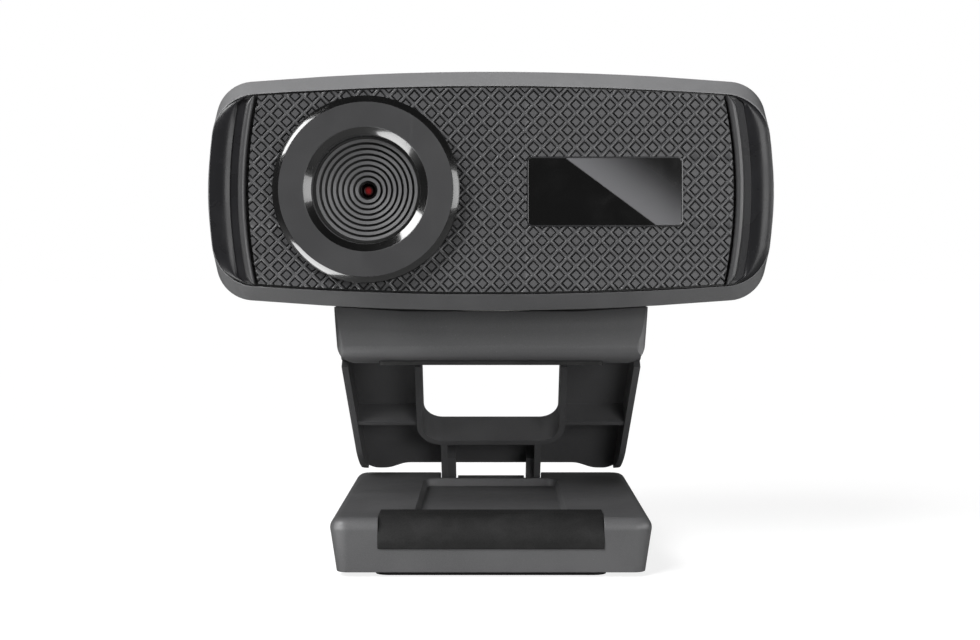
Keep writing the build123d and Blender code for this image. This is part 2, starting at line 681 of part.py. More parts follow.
with BuildPart() as jaw_shell:
    with BuildSketch(Plane.YZ):
        with BuildLine():
            Polyline(
                (jaw_front, jaw_bottom), (jaw_front, jaw_bottom + jaw_lip_height),
                (jaw_front + jaw_face_lean, jaw_rim), (jaw_shoulder_y - jaw_shoulder_lean, jaw_rim),
                (jaw_pin_y, jaw_pin_z + jaw_barrel_r), (jaw_pin_y, jaw_bottom), close=True,
            )
        face = make_face()
        fillet(face.vertices().sort_by_distance((jaw_front, jaw_bottom))[0], jaw_lip_round)
        fillet(face.vertices().sort_by_distance((jaw_front + jaw_face_lean, jaw_rim))[0], jaw_edge_round)
    extrude(amount=jaw_half, both=True)
    with BuildSketch(head_plane(0)):
        side_x = jaw_half - jaw_side_lean
        with BuildLine():
            Polyline((-jaw_half, jaw_rim - head_z), (jaw_half, jaw_rim - head_z),
                     (side_x, jaw_bottom - head_z), (-side_x, jaw_bottom - head_z), close=True)
        face = make_face()
        fillet(face.vertices().group_by(Axis.Y)[0], jaw_corner)
        fillet(face.vertices().group_by(Axis.Y)[-1], jaw_top_corner)
    extrude(amount=head_width, both=True, mode=Mode.INTERSECT)
    with BuildSketch(level(jaw_bottom)):
        with Locations((0, jaw_front)):
            RectangleRounded(jaw_width, 2 * jaw_reach, jaw_plan_round, align=(Align.CENTER, Align.MIN))
    extrude(amount=jaw_rim - jaw_bottom, mode=Mode.INTERSECT)
    # dished top
    with BuildSketch(Plane(origin=(0, post_y, 0), x_dir=(1, 0, 0), z_dir=(0, -1, 0))):
        with BuildLine():
            Polyline((0, jaw_top), (jaw_seat_r, jaw_top), (jaw_seat_r + jaw_dish_run, jaw_rim),
                     (0, jaw_rim + jaw_dish), close=True)
        make_face()
    revolve(axis=Axis((0, post_y, 0), (0, 0, 1)), mode=Mode.SUBTRACT)
    # room for the leg's ears
    for side in (-1, 1):
        with Locations((side * jaw_barrel_half, jaw_shoulder_y, jaw_bottom)):
            Box(jaw_half, 2 * ear_r + cut_past, 2 * jaw_height, mode=Mode.SUBTRACT,
                align=(Align.MIN if side > 0 else Align.MAX, Align.MIN, Align.CENTER))
    # hinge barrel
    with BuildSketch(Plane.YZ):
        with Locations((jaw_pin_y, jaw_pin_z)):
            Circle(jaw_barrel_r)
    extrude(amount=jaw_barrel_half, both=True)
    # hollow, with screw bosses
    with BuildSketch(level(jaw_bottom)):
        with Locations((0, jaw_cover_y)):
            RectangleRounded(jaw_cover_width, jaw_cover_length, jaw_cover_corner)
    extrude(amount=jaw_height - jaw_wall, mode=Mode.SUBTRACT)
    with BuildSketch(level(jaw_bottom + jaw_cover_thickness)):
        with Locations(*jaw_screw_places):
            Circle(screw_r + boss_wall)
    extrude(amount=jaw_pocket_top - jaw_bottom - jaw_cover_thickness)
    with BuildSketch(level(jaw_bottom + jaw_cover_thickness)):
        with Locations(*jaw_screw_places):
            Circle(screw_r + fixed_fit)
    extrude(amount=screw_hole_depth, mode=Mode.SUBTRACT)
    with BuildSketch(level(jaw_pocket_top)):
        with Locations((0, post_y)):
            Circle(post_r + fixed_fit)
    extrude(amount=jaw_wall, mode=Mode.SUBTRACT)
    with BuildSketch(Plane.YZ):
        with Locations((jaw_pin_y, jaw_pin_z)):
            Circle(jaw_pin_r + running_fit)
    extrude(amount=leg_width_at_jaw, both=True, mode=Mode.SUBTRACT)
    add(jaw_pad.part, mode=Mode.SUBTRACT)

with BuildPart() as jaw_cover:
    with BuildSketch(level(jaw_bottom)):
        with Locations((0, jaw_cover_y)):
            RectangleRounded(jaw_cover_width - 2 * lid_gap, jaw_cover_length - 2 * lid_gap, jaw_cover_corner)
    extrude(amount=jaw_cover_thickness)
    add(jaw_pad.part, mode=Mode.SUBTRACT)
    with BuildSketch(level(jaw_bottom)):
        with Locations(*jaw_screw_places):
            Circle(screw_head_r + lid_gap)
    extrude(amount=jaw_screw_seat - jaw_bottom, mode=Mode.SUBTRACT)
    with BuildSketch(level(jaw_bottom)):
        with Locations(*jaw_screw_places):
            Circle(screw_r + 2 * fixed_fit)
    extrude(amount=jaw_cover_thickness, mode=Mode.SUBTRACT)

with BuildPart() as jaw_screws:
    with BuildSketch(level(jaw_screw_seat)):
        with Locations(*jaw_screw_places):
            Circle(screw_head_r)
    extrude(amount=screw_head_play - screw_head_height)
    with BuildSketch(level(jaw_screw_seat)):
        with Locations(*jaw_screw_places):
            Circle(screw_r)
    extrude(amount=jaw_bottom + jaw_cover_thickness + screw_reach - jaw_screw_seat)

# ================================================================ swivel
with BuildPart() as swivel_post:
    with BuildSketch(level(jaw_pocket_top)):
        with Locations((0, post_y)):
            Circle(post_flange_r)
    extrude(amount=-post_flange_thickness)
    with BuildSketch(level(jaw_pocket_top)):
        with Locations((0, post_y)):
            Circle(post_r)
    extrude(amount=post_top - jaw_pocket_top)
    with BuildSketch(level(post_top)):
        with Locations((0, post_y)):
            Circle(post_screw_r + fixed_fit)
    extrude(amount=-post_hole_depth, mode=Mode.SUBTRACT)

with BuildPart() as friction_disc:
    with BuildSketch(level(jaw_top)):
        with Locations((0, post_y)):
            Circle(friction_disc_r)
            Circle(post_r + running_fit, mode=Mode.SUBTRACT)
    extrude(amount=head_gap - running_fit)

with BuildPart() as spring_washer:
    with BuildSketch(level(post_top + stack_gap)):
        with Locations((0, post_y)):
            Circle(spring_washer_r)
            Circle(post_screw_r + 2 * fixed_fit, mode=Mode.SUBTRACT)
    extrude(amount=spring_washer_thickness)

with BuildPart() as swivel_screw:
    with BuildSketch(level(swivel_screw_seat)):
        with Locations((0, post_y)):
            Circle(post_screw_head_r)
    extrude(amount=post_screw_head_height)
    with BuildSketch(level(swivel_screw_seat)):
        with Locations((0, post_y)):
            Circle(post_screw_r)
    extrude(amount=-swivel_screw_length)

# ================================================================ head shell
housing_length = head_back - surround_back
housing_inner_back = head_back - housing_wall
housing_slope = tan(radians(housing_taper))
housing_screw_places = [(x, z) for x in (-housing_screw_x, housing_screw_x)
                        for z in (-housing_screw_z, housing_screw_z)]
boss_meet_y = head_back - housing_wall - housing_boss_length
floor_top = head_bottom + housing_wall + swivel_floor
boot_r = microphone_r + boot_wall
microphone_top = head_z + head_height / 2 - housing_wall - microphone_gap
microphone_y = surround_back + microphone_setback

with BuildPart() as rear_housing:
    with BuildSketch(head_plane(surround_back)):
        add(head_outline())
    with BuildSketch(head_plane(head_back)):
        add(head_outline(housing_length * housing_slope))
    loft()
    fillet(rear_housing.faces().sort_by(Axis.Y)[-1].edges(), housing_rear_round)
    with BuildSketch(head_plane(surround_back)):
        add(head_outline(housing_wall))
    with BuildSketch(head_plane(housing_inner_back)):
        add(head_outline(housing_wall + (housing_length - housing_wall) * housing_slope))
    loft(mode=Mode.SUBTRACT)
    # socket floor round the swivel post
    with BuildSketch(level(floor_top)):
        with Locations((0, post_y)):
            Circle(spring_washer_r + swivel_floor_wall)
    extrude(amount=head_bottom - floor_top + swivel_floor_sink)
    with BuildSketch(level(head_bottom - cut_past)):
        with Locations((0, post_y)):
            Circle(post_r + running_fit)
    extrude(amount=housing_wall + 2 * cut_past, mode=Mode.SUBTRACT)
    # screw bosses
    with BuildSketch(head_plane(boss_meet_y)):
        with Locations(*housing_screw_places):
            Circle(screw_r + housing_boss_wall)
    extrude(amount=boss_meet_y - housing_inner_back - lid_gap)
    with BuildSketch(head_plane(head_back)):
        with Locations(*housing_screw_places):
            Circle(screw_r + 2 * fixed_fit)
    extrude(amount=head_back - boss_meet_y, mode=Mode.SUBTRACT)
    with BuildSketch(head_plane(head_back)):
        with Locations(*housing_screw_places):
            Circle(screw_head_r + lid_gap)
    extrude(amount=housing_wall, mode=Mode.SUBTRACT)
    # cable hole and microphone port
    with BuildSketch(head_plane(head_back)):
        Circle(gland_neck_r + fixed_fit)
    extrude(amount=housing_wall, mode=Mode.SUBTRACT)
    with BuildSketch(level(microphone_top)):
        with Locations((microphone_x, microphone_y)):
            Circle(microphone_port_r)
    extrude(amount=housing_wall + cut_past, mode=Mode.SUBTRACT)

with BuildPart() as surround:
    with BuildSketch(head_plane(surround_widest)):
        add(head_outline())
    with BuildSketch(head_plane(surround_front)):
        add(panel_outline(-surround_lip_fit))
    loft()
    with BuildSketch(head_plane(surround_back)):
        add(head_outline())
    extrude(amount=surround_back - surround_widest)
    with BuildSketch(head_plane(surround_back)):
        add(panel_outline(-panel_fit))
    extrude(amount=surround_depth, mode=Mode.SUBTRACT)

barrel_back = ring_face + baffle_eye_depth + baffle_thickness + barrel_gap + barrel_length
sensor_face = barrel_back + sensor_gap + filter_thickness + sensor_gap
board_face = sensor_face + sensor_thickness
board_back = board_face + board_thickness
board_left = lens_x - holder_base / 2 - board_margin
board_right = board_left + board_width
board_x = (board_left + board_right) / 2
board_screw_places = [(x, z) for x in (board_left + board_screw_inset, board_right - board_screw_inset)
                      for z in (board_screw_inset - board_height / 2, board_height / 2 - board_screw_inset)]

with BuildPart() as badge_plate:
    with BuildSketch(head_plane(panel_face + badge_thickness - badge_proud)):
        with Locations((badge_x, badge_z)):
            RectangleRounded(badge_width, badge_height, badge_corner)
    extrude(amount=badge_thickness)

with BuildPart() as front_panel:
    with BuildSketch(head_plane(plate_back)):
        add(panel_outline())
    extrude(amount=panel_thickness)
    with BuildSketch(head_plane(plate_face)):
        add(panel_outline(texture_margin))
        add(field_outline(field_end), mode=Mode.INTERSECT)
    extrude(amount=panel_step - texture_height)
    # bosses for the board and the housing
    with BuildSketch(head_plane(board_face)):
        with Locations(*board_screw_places):
            Circle(board_boss_r)
    extrude(amount=board_face - plate_back)
    with BuildSketch(head_plane(boss_meet_y - boss_gap)):
        with Locations(*housing_screw_places):
            Circle(screw_r + panel_boss_wall)
    extrude(amount=boss_meet_y - boss_gap - plate_back)
    with BuildSketch(head_plane(board_face)):
        with Locations(*board_screw_places):
            Circle(screw_r + fixed_fit)
    extrude(amount=board_hole_depth, mode=Mode.SUBTRACT)
    with BuildSketch(head_plane(boss_meet_y)):
        with Locations(*housing_screw_places):
            Circle(screw_r + fixed_fit)
    extrude(amount=panel_hole_depth, mode=Mode.SUBTRACT)
    with BuildSketch(lens_plane(plate_back)):
        Circle(hub_r + running_fit)
    extrude(amount=panel_thickness + panel_step, mode=Mode.SUBTRACT)
    add(badge_plate.part, mode=Mode.SUBTRACT)

for side in (-1, 1):
    with BuildPart() as end_cap:
        with BuildSketch(head_plane(plate_face)):
            add(panel_outline(panel_fit))
            add(field_outline(cap_start), mode=Mode.SUBTRACT)
        extrude(amount=panel_step - texture_height + cap_rise)
        split(bisect_by=Plane.YZ, keep=Keep.TOP if side > 0 else Keep.BOTTOM)
        # round the outer rim, which is neither the long inner edge nor the short ends
        rim = end_cap.faces().sort_by(Axis.Y)[0].edges().sort_by(SortBy.LENGTH)
        fillet(rim[2:5], cap_round)
    if side < 0:
        left_end_cap = end_cap
    else:
        right_end_cap = end_cap

# ================================================================ focus ring and lens
hub_depth = plate_back - ring_face + side_gap / 2
baffle_back = baffle_eye_depth + baffle_thickness
barrel_front = baffle_back + barrel_gap
retainer_bore = baffle_r + retainer_overlap
lens_section = Plane(origin=(lens_x, ring_face, head_z), x_dir=(1, 0, 0), z_dir=(0, 0, 1))


def turned(points):
    """A ring or disc about the lens axis.  Points are (radius, depth behind the ring's face)."""
    with BuildPart() as body:
        with BuildSketch(lens_section):
            with BuildLine():
                Polyline(*points, close=True)
            make_face()
        revolve(axis=lens_axis)
    return body.part


with BuildPart() as focus_ring:
    add(turned([(ring_mouth_r, 0), (ring_face_r, 0), (ring_r, ring_bevel),
            (ring_r, ring_stand - side_gap / 2), (hub_r, ring_stand - side_gap / 2),
            (hub_r, hub_depth), (baffle_r + fixed_fit, hub_depth), (baffle_r + fixed_fit, ring_lip),
            (ring_throat_r - ring_undercut, ring_lip), (ring_throat_r, ring_throat_depth)]))

with BuildPart() as ring_retainer:
    add(turned([(retainer_bore, hub_depth), (retainer_r, hub_depth),
            (retainer_r, hub_depth + retainer_thickness), (retainer_bore, hub_depth + retainer_thickness)]))

groove_pitch = (baffle_cone_r - baffle_eye_r) / baffle_grooves
cone_slope = (baffle_eye_depth - baffle_rim_depth) / (baffle_cone_r - baffle_eye_r)
baffle_front = [(baffle_r, ring_lip), (baffle_cone_r + baffle_rim, ring_lip)]
for k in range(baffle_grooves):
    outer_r = baffle_cone_r - k * groove_pitch
    depth = baffle_rim_depth + (baffle_cone_r - outer_r) * cone_slope
    baffle_front.append((outer_r, depth))
    ridge = groove_pitch * baffle_ridge_share
    flank = ridge + groove_pitch * baffle_flank_share
    baffle_front.append((outer_r - ridge, depth + ridge * cone_slope))
    baffle_front.append((outer_r - flank, depth + flank * cone_slope + baffle_groove_depth))
baffle_front.append((baffle_eye_r, baffle_eye_depth))

with BuildPart() as lens_baffle:
    add(turned(baffle_front + [(baffle_eye_r, baffle_back), (baffle_cone_r - baffle_collar, baffle_back),
                               (baffle_cone_r, ring_lip + baffle_step), (baffle_r, ring_lip + baffle_step)]))

eye_seat = barrel_front + eye_glass_seat
eye_stop_r = eye_glass_r - element_lip
front_back = eye_seat + element_thickness
middle_front = front_back + element_gap
middle_back = middle_front + element_thickness
rear_front = middle_back + spacer_length
rear_back = rear_front + element_thickness
barrel_end = barrel_front + barrel_length

with BuildPart() as lens_barrel:
    add(turned([(eye_stop_r, barrel_front), (barrel_r, barrel_front), (barrel_r, barrel_end),
            (barrel_bore_r, barrel_end), (barrel_bore_r, middle_front),
            (eye_glass_r + fixed_fit, middle_front), (eye_glass_r + fixed_fit, eye_seat),
            (eye_stop_r, eye_seat)]))

with BuildPart() as front_lens:
    add(turned([(0, eye_seat), (eye_glass_r, eye_seat), (eye_glass_r, front_back), (0, front_back)]))
    # low dome
    with BuildSketch(lens_plane(ring_face + eye_seat)):
        Circle(eye_stop_r - running_fit)
    extrude(amount=eye_glass_rise, taper=eye_glass_draft)

with BuildPart() as middle_lens:
    add(turned([(0, middle_front), (barrel_bore_r - fixed_fit, middle_front),
            (barrel_bore_r - fixed_fit, middle_back), (0, middle_back)]))

with BuildPart() as lens_spacer:
    add(turned([(barrel_bore_r - spacer_width, middle_back), (barrel_bore_r - fixed_fit, middle_back),
            (barrel_bore_r - fixed_fit, rear_front), (barrel_bore_r - spacer_width, rear_front)]))

with BuildPart() as rear_lens:
    add(turned([(0, rear_front), (barrel_bore_r - fixed_fit, rear_front),
            (barrel_bore_r - fixed_fit, rear_back), (0, rear_back)]))

with BuildPart() as barrel_ring:
    add(turned([(barrel_bore_r - barrel_ring_width, rear_back), (barrel_bore_r - fixed_fit, rear_back),
            (barrel_bore_r - fixed_fit, rear_back + barrel_ring_length),
            (barrel_bore_r - barrel_ring_width, rear_back + barrel_ring_length)]))

# ================================================================ board and what is on it
holder_r = barrel_r + running_fit + holder_wall
holder_front = ring_face + barrel_front + holder_setback
filter_face = sensor_face - sensor_gap - filter_thickness
holder_screw_offset = holder_base / 2 - holder_screw_inset
holder_screw_places = [(side * holder_screw_offset, side * holder_screw_offset) for side in (-1, 1)]

with BuildPart() as lens_holder:
    with BuildSketch(lens_plane(board_face)):
        Rectangle(holder_base, holder_base)
    extrude(amount=holder_base_thickness)
    with BuildSketch(lens_plane(board_face)):
        Circle(holder_r)
    extrude(amount=board_face - holder_front)
    with BuildSketch(lens_plane(board_face)):
        Circle(barrel_r + running_fit)
    extrude(amount=board_face - holder_front, mode=Mode.SUBTRACT)
    # ledge for the filter
    with BuildSketch(lens_plane(filter_face + filter_thickness)):
        Circle(barrel_r + filter_ledge)
        Rectangle(filter_size - 2 * filter_ledge_reach, filter_size - 2 * filter_ledge_reach,
                  mode=Mode.SUBTRACT)
    extrude(amount=filter_thickness)
    with BuildSketch(lens_plane(board_face)):
        Rectangle(filter_size + 2 * filter_fit, filter_size + 2 * filter_fit)
    extrude(amount=board_face - filter_face, mode=Mode.SUBTRACT)
    with BuildSketch(lens_plane(board_face)):
        with Locations(*holder_screw_places):
            Circle(holder_screw_r + fixed_fit)
    extrude(amount=holder_base_thickness, mode=Mode.SUBTRACT)

with BuildPart() as infrared_filter:
    with BuildSketch(lens_plane(filter_face + filter_thickness)):
        Rectangle(filter_size, filter_size)
    extrude(amount=filter_thickness)

with BuildPart() as image_sensor:
    with BuildSketch(lens_plane(board_face)):
        Rectangle(sensor_size, sensor_size)
    extrude(amount=sensor_thickness)

with BuildPart() as holder_screws:
    with BuildSketch(lens_plane(board_back)):
        with Locations(*holder_screw_places):
            Circle(holder_screw_head_r)
    extrude(amount=-holder_screw_head_height)
    with BuildSketch(lens_plane(board_back)):
        with Locations(*holder_screw_places):
            Circle(holder_screw_r)
    extrude(amount=board_thickness + holder_base_thickness - pin_play)

with BuildPart() as main_board:
    with BuildSketch(head_plane(board_back)):
        with Locations((board_x, 0)):
            RectangleRounded(board_width, board_height, board_corner)
        with Locations(*board_screw_places):
            Circle(screw_r + 2 * fixed_fit, mode=Mode.SUBTRACT)
        with Locations(*[(lens_x + x, z) for x, z in holder_screw_places]):
            Circle(holder_screw_r + 2 * fixed_fit, mode=Mode.SUBTRACT)
    extrude(amount=board_thickness)

with BuildPart() as board_screws:
    with BuildSketch(head_plane(board_back)):
        with Locations(*board_screw_places):
            Circle(screw_head_r)
    extrude(amount=-screw_head_height)
    with BuildSketch(head_plane(board_back)):
        with Locations(*board_screw_places):
            Circle(screw_r)
    extrude(amount=board_thickness + board_screw_reach)

with BuildPart() as video_controller:
    with BuildSketch(head_plane(board_face)):
        with Locations((controller_x, 0)):
            Rectangle(controller_size, controller_size)
    extrude(amount=controller_thickness)

with BuildPart() as memory_chip:
    with BuildSketch(head_plane(board_face)):
        with Locations((memory_x, memory_z)):
            Rectangle(memory_width, memory_height)
    extrude(amount=memory_thickness)

with BuildPart() as clock_crystal:
    with BuildSketch(head_plane(board_face)):
        with Locations((crystal_x, crystal_z)):
            SlotOverall(crystal_width, crystal_height)
    extrude(amount=crystal_thickness)

with BuildPart() as cable_header:
    with BuildSketch(head_plane(board_back)):
        with Locations((header_x, header_z)):
            Rectangle(header_width, header_height)
    extrude(amount=-header_depth)
    with BuildSketch(head_plane(board_back + header_depth)):
        with Locations((header_x, header_z)):
            Rectangle(header_width - 2 * header_wall, header_height - 2 * header_wall)
    extrude(amount=header_depth - header_floor, mode=Mode.SUBTRACT)

with BuildPart() as microphone:
    with BuildSketch(level(microphone_top - boot_wall)):
        with Locations((microphone_x, microphone_y)):
            Circle(microphone_r)
    extrude(amount=-microphone_height)

with BuildPart() as microphone_boot:
    with BuildSketch(level(microphone_top)):
        with Locations((microphone_x, microphone_y)):
            Circle(boot_r)
    extrude(amount=-microphone_height - boot_wall)
    with BuildSketch(level(microphone_top)):
        with Locations((microphone_x, microphone_y)):
            Circle(microphone_port_r)
    extrude(amount=-boot_wall, mode=Mode.SUBTRACT)
    add(microphone.part, mode=Mode.SUBTRACT)

# ================================================================ rear fastenings and gland
housing_screw_seat = head_back - screw_head_height - housing_screw_sink

with BuildPart() as housing_screws:
    with BuildSketch(head_plane(housing_screw_seat)):
        with Locations(*housing_screw_places):
            Circle(screw_head_r)
    extrude(amount=-screw_head_height)
    with BuildSketch(head_plane(housing_screw_seat)):
        with Locations(*housing_screw_places):
            Circle(screw_r)
    extrude(amount=housing_screw_seat - boss_meet_y + housing_screw_reach)

with BuildPart() as cable_grommet:
    with BuildSketch(head_plane(housing_inner_back)):
        Circle(gland_flange_r)
    extrude(amount=gland_flange)
    with BuildSketch(head_plane(housing_inner_back)):
        Circle(gland_neck_r)
    extrude(amount=-housing_wall)
    with BuildSketch(Plane(origin=(0, head_back, head_z), x_dir=(-1, 0, 0), z_dir=(0, 1, 0))):
        Circle(gland_neck_r + gland_step)
    extrude(amount=gland_nose, taper=gland_draft)
    with BuildSketch(head_plane(head_back + gland_nose)):
        Circle(cable_r)
    extrude(amount=gland_nose + housing_wall + gland_flange, mode=Mode.SUBTRACT)

# ================================================================ files
pieces = {
    "foot_shell": foot_shell, "foot_cover": foot_cover, "foot_front_pad": foot_front_pad,
    "foot_base_pad": foot_base_pad, "foot_screws": foot_screws, "foot_hinge_pin": foot_hinge_pin,
    "leg_frame": leg_frame, "jaw_hinge_pin": jaw_hinge_pin,
    "jaw_shell": jaw_shell, "jaw_cover": jaw_cover, "jaw_pad": jaw_pad, "jaw_screws": jaw_screws,
    "swivel_post": swivel_post, "friction_disc": friction_disc, "spring_washer": spring_washer,
    "swivel_screw": swivel_screw,
    "rear_housing": rear_housing, "surround": surround, "front_panel": front_panel,
    "left_end_cap": left_end_cap, "right_end_cap": right_end_cap, "badge_plate": badge_plate,
    "housing_screws": housing_screws, "cable_grommet": cable_grommet,
    "main_board": main_board, "board_screws": board_screws, "image_sensor": image_sensor,
    "lens_holder": lens_holder, "holder_screws": holder_screws, "infrared_filter": infrared_filter,
    "video_controller": video_controller, "memory_chip": memory_chip, "clock_crystal": clock_crystal,
    "cable_header": cable_header, "microphone": microphone, "microphone_boot": microphone_boot,
    "focus_ring": focus_ring, "lens_baffle": lens_baffle, "ring_retainer": ring_retainer,
    "lens_barrel": lens_barrel, "front_lens": front_lens, "middle_lens": middle_lens,
    "lens_spacer": lens_spacer, "rear_lens": rear_lens, "barrel_ring": barrel_ring,
}

os.makedirs("parts", exist_ok=True)
for name, piece in pieces.items():
    piece.part.label = name
    export_step(piece.part, "parts/" + name + ".step")
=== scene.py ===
import json
import math

import bmesh
import bpy
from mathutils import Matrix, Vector


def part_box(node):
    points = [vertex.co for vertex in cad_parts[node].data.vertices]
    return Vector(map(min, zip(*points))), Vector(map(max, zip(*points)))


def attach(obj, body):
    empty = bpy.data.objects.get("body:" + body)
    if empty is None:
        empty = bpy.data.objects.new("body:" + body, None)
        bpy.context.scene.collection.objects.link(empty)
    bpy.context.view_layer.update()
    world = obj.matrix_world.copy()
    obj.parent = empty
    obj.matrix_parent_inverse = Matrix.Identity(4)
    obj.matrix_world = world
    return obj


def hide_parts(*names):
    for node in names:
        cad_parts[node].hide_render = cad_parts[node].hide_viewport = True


bl_info = {
    "name": "Clip stand webcam",
    "version": (1, 0, 0),
    "blender": (4, 5, 0),
    "location": "View3D > Sidebar > Webcam",
    "description": "Models and finishes a bar-shaped webcam on its folding clip stand, round a fixed frame",
    "category": "Object",
}

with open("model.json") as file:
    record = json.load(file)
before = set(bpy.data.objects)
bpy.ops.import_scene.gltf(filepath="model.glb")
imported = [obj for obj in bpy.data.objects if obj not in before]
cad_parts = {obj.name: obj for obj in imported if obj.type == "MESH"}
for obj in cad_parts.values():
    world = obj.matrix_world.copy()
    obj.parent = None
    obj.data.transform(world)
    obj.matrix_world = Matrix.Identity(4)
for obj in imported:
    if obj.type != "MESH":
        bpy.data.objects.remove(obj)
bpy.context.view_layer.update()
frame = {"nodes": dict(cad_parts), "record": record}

MM = 0.001
FULL_TURN = 2 * math.pi
HALVINGS = 40
SIDES = {"left": -1, "right": 1}

head_low, head_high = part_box("surround")
panel_low, panel_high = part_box("front_panel")
ring_low, ring_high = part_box("focus_ring")
badge_low, badge_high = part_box("badge_plate")
lens_low, lens_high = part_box("front_lens")
baffle_low, baffle_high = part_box("lens_baffle")
cap_low, cap_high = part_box("right_end_cap")

head_z = (head_low.z + head_high.z) / 2
head_half_width = (head_high.x - head_low.x) / 2
panel_half_height = (panel_high.z - panel_low.z) / 2
panel_half_width = (panel_high.x - panel_low.x) / 2
lens_x = (ring_low.x + ring_high.x) / 2
ring_radius = (ring_high.x - ring_low.x) / 2
ring_face = ring_low.y
texture_floor = panel_low.y
cap_gap = 0.08 * MM
field_gap = 0.3 * MM
cap_overlap = 0.5 * MM
SLOTS = {part["node"]: part["material_slot"] for part in frame["record"]["subparts"]}


# ------------------------------------------------------------------ what a user would change
class StageSettings(bpy.types.PropertyGroup):
    """Camera, lights and floor."""

    camera_distance: bpy.props.FloatProperty(
        name="Camera distance", description="From the object's origin to the camera",
        default=0.2915, unit="LENGTH")
    camera_height: bpy.props.FloatProperty(
        name="Camera height", description="Camera above the floor", default=0.0471, unit="LENGTH")
    focal_length: bpy.props.FloatProperty(
        name="Focal length", description="Lens of the camera in millimetres", default=66.38)
    rise: bpy.props.FloatProperty(
        name="Lens shift", description="Vertical shift of the camera's frame", default=-0.0663)
    key_power: bpy.props.FloatProperty(
        name="Key light", description="Power of the large soft light at the left", default=6.0, unit="POWER")
    fill_power: bpy.props.FloatProperty(
        name="Fill light", description="Power of the soft light at the right", default=2.2, unit="POWER")
    top_power: bpy.props.FloatProperty(
        name="Top light", description="Power of the light overhead", default=1.0, unit="POWER")
    card_power: bpy.props.FloatProperty(
        name="Cards", description="Power of the cards that gleam on the ring's polished edges", default=1.0,
        unit="POWER")


class PanelSettings(bpy.types.PropertyGroup):
    """The front panel's diamond relief."""

    cell_pitch: bpy.props.FloatProperty(
        name="Diamond pitch", description="Between two diamonds in a row", default=2.45 * MM, unit="LENGTH")
    ridge_width: bpy.props.FloatProperty(
        name="Ridge width", description="Of the crossing ridges", default=0.26 * MM, unit="LENGTH")
    groove_width: bpy.props.FloatProperty(
        name="Groove width", description="Round each raised pad", default=0.28 * MM, unit="LENGTH")
    relief_depth: bpy.props.FloatProperty(
        name="Relief depth", description="From the ridges down to the grooves", default=0.46 * MM,
        unit="LENGTH")
    relief_stand: bpy.props.FloatProperty(
        name="Relief stand", description="Ridges in front of the panel's face", default=0.5 * MM,
        unit="LENGTH")
    end_radius: bpy.props.FloatProperty(
        name="End radius", description="Of the field's bulging ends", default=65 * MM, unit="LENGTH")
    end_margin: bpy.props.FloatProperty(
        name="End margin", description="From the head's side to the field", default=6.6 * MM, unit="LENGTH")


class CapSettings(bpy.types.PropertyGroup):
    """The gloss end caps."""

    bead_width: bpy.props.FloatProperty(
        name="Bead width", description="Of the raised bead along the inner edge", default=1.15 * MM,
        unit="LENGTH")
    bead_height: bpy.props.FloatProperty(
        name="Bead height", description="Bead above the channel", default=0.42 * MM, unit="LENGTH")
    channel_width: bpy.props.FloatProperty(
        name="Channel width", description="Between the bead and the gloss face", default=1.1 * MM,
        unit="LENGTH")
    arch: bpy.props.FloatProperty(
        name="Arch", description="How far the gloss face bulges", default=0.32 * MM, unit="LENGTH")
    rows: bpy.props.IntProperty(
        name="Rows", description="Rows of faces from bottom to top", default=72, min=8)


class RingSettings(bpy.types.PropertyGroup):
    """The focus ring, its baffle and the lens."""

    face_radius: bpy.props.FloatProperty(
        name="Face radius", description="Outer radius of the flat face", default=12.5 * MM, unit="LENGTH")
    mouth_radius: bpy.props.FloatProperty(
        name="Mouth radius", description="Inner radius of the flat face", default=8.9 * MM, unit="LENGTH")
    chamfer_depth: bpy.props.FloatProperty(
        name="Chamfer depth", description="Of the polished outer chamfer", default=0.75 * MM, unit="LENGTH")
    throat_radius: bpy.props.FloatProperty(
        name="Throat radius", description="At the bottom of the inner bevel", default=7.9 * MM, unit="LENGTH")
    throat_depth: bpy.props.FloatProperty(
        name="Throat depth", description="Of the inner bevel", default=0.72 * MM, unit="LENGTH")
    cone_radius: bpy.props.FloatProperty(
        name="Cone radius", description="Edge of the grooved cone", default=7.3 * MM, unit="LENGTH")
    eye_radius: bpy.props.FloatProperty(
        name="Eye radius", description="Opening in the middle of the cone", default=1.05 * MM, unit="LENGTH")
    grooves: bpy.props.IntProperty(
        name="Grooves", description="Rings cut in the cone", default=8, min=1)
    steps: bpy.props.IntProperty(
        name="Steps", description="Faces round a turned piece", default=144, min=24)


class BadgeSettings(bpy.types.PropertyGroup):
    """The badge plate."""

    frame_width: bpy.props.FloatProperty(
        name="Frame width", description="Of the slim raised frame", default=0.18 * MM, unit="LENGTH")
    window_sink: bpy.props.FloatProperty(
        name="Window sink", description="Plate's face behind its frame", default=0.05 * MM, unit="LENGTH")
    corner: bpy.props.FloatProperty(
        name="Corner", description="Radius of the plate's corners", default=0.8 * MM, unit="LENGTH")


class FinishSettings(bpy.types.PropertyGroup):
    """Colours of the main finishes."""

    stand_colour: bpy.props.FloatVectorProperty(
        name="Stand", description="Moulded plastic of the stand", subtype="COLOR", size=3,
        default=(0.075, 0.075, 0.077))
    housing_colour: bpy.props.FloatVectorProperty(
        name="Housing", description="Moulded plastic of the head's back", subtype="COLOR", size=3,
        default=(0.05, 0.05, 0.052))
    surround_colour: bpy.props.FloatVectorProperty(
        name="Surround", description="Satin band round the front", subtype="COLOR", size=3,
        default=(0.155, 0.155, 0.158))
    panel_colour: bpy.props.FloatVectorProperty(
        name="Front panel", description="Plastic of the diamond relief", subtype="COLOR", size=3,
        default=(0.056, 0.056, 0.058))
    ring_colour: bpy.props.FloatVectorProperty(
        name="Focus ring", description="Satin face of the ring", subtype="COLOR", size=3,
        default=(0.034, 0.034, 0.035))


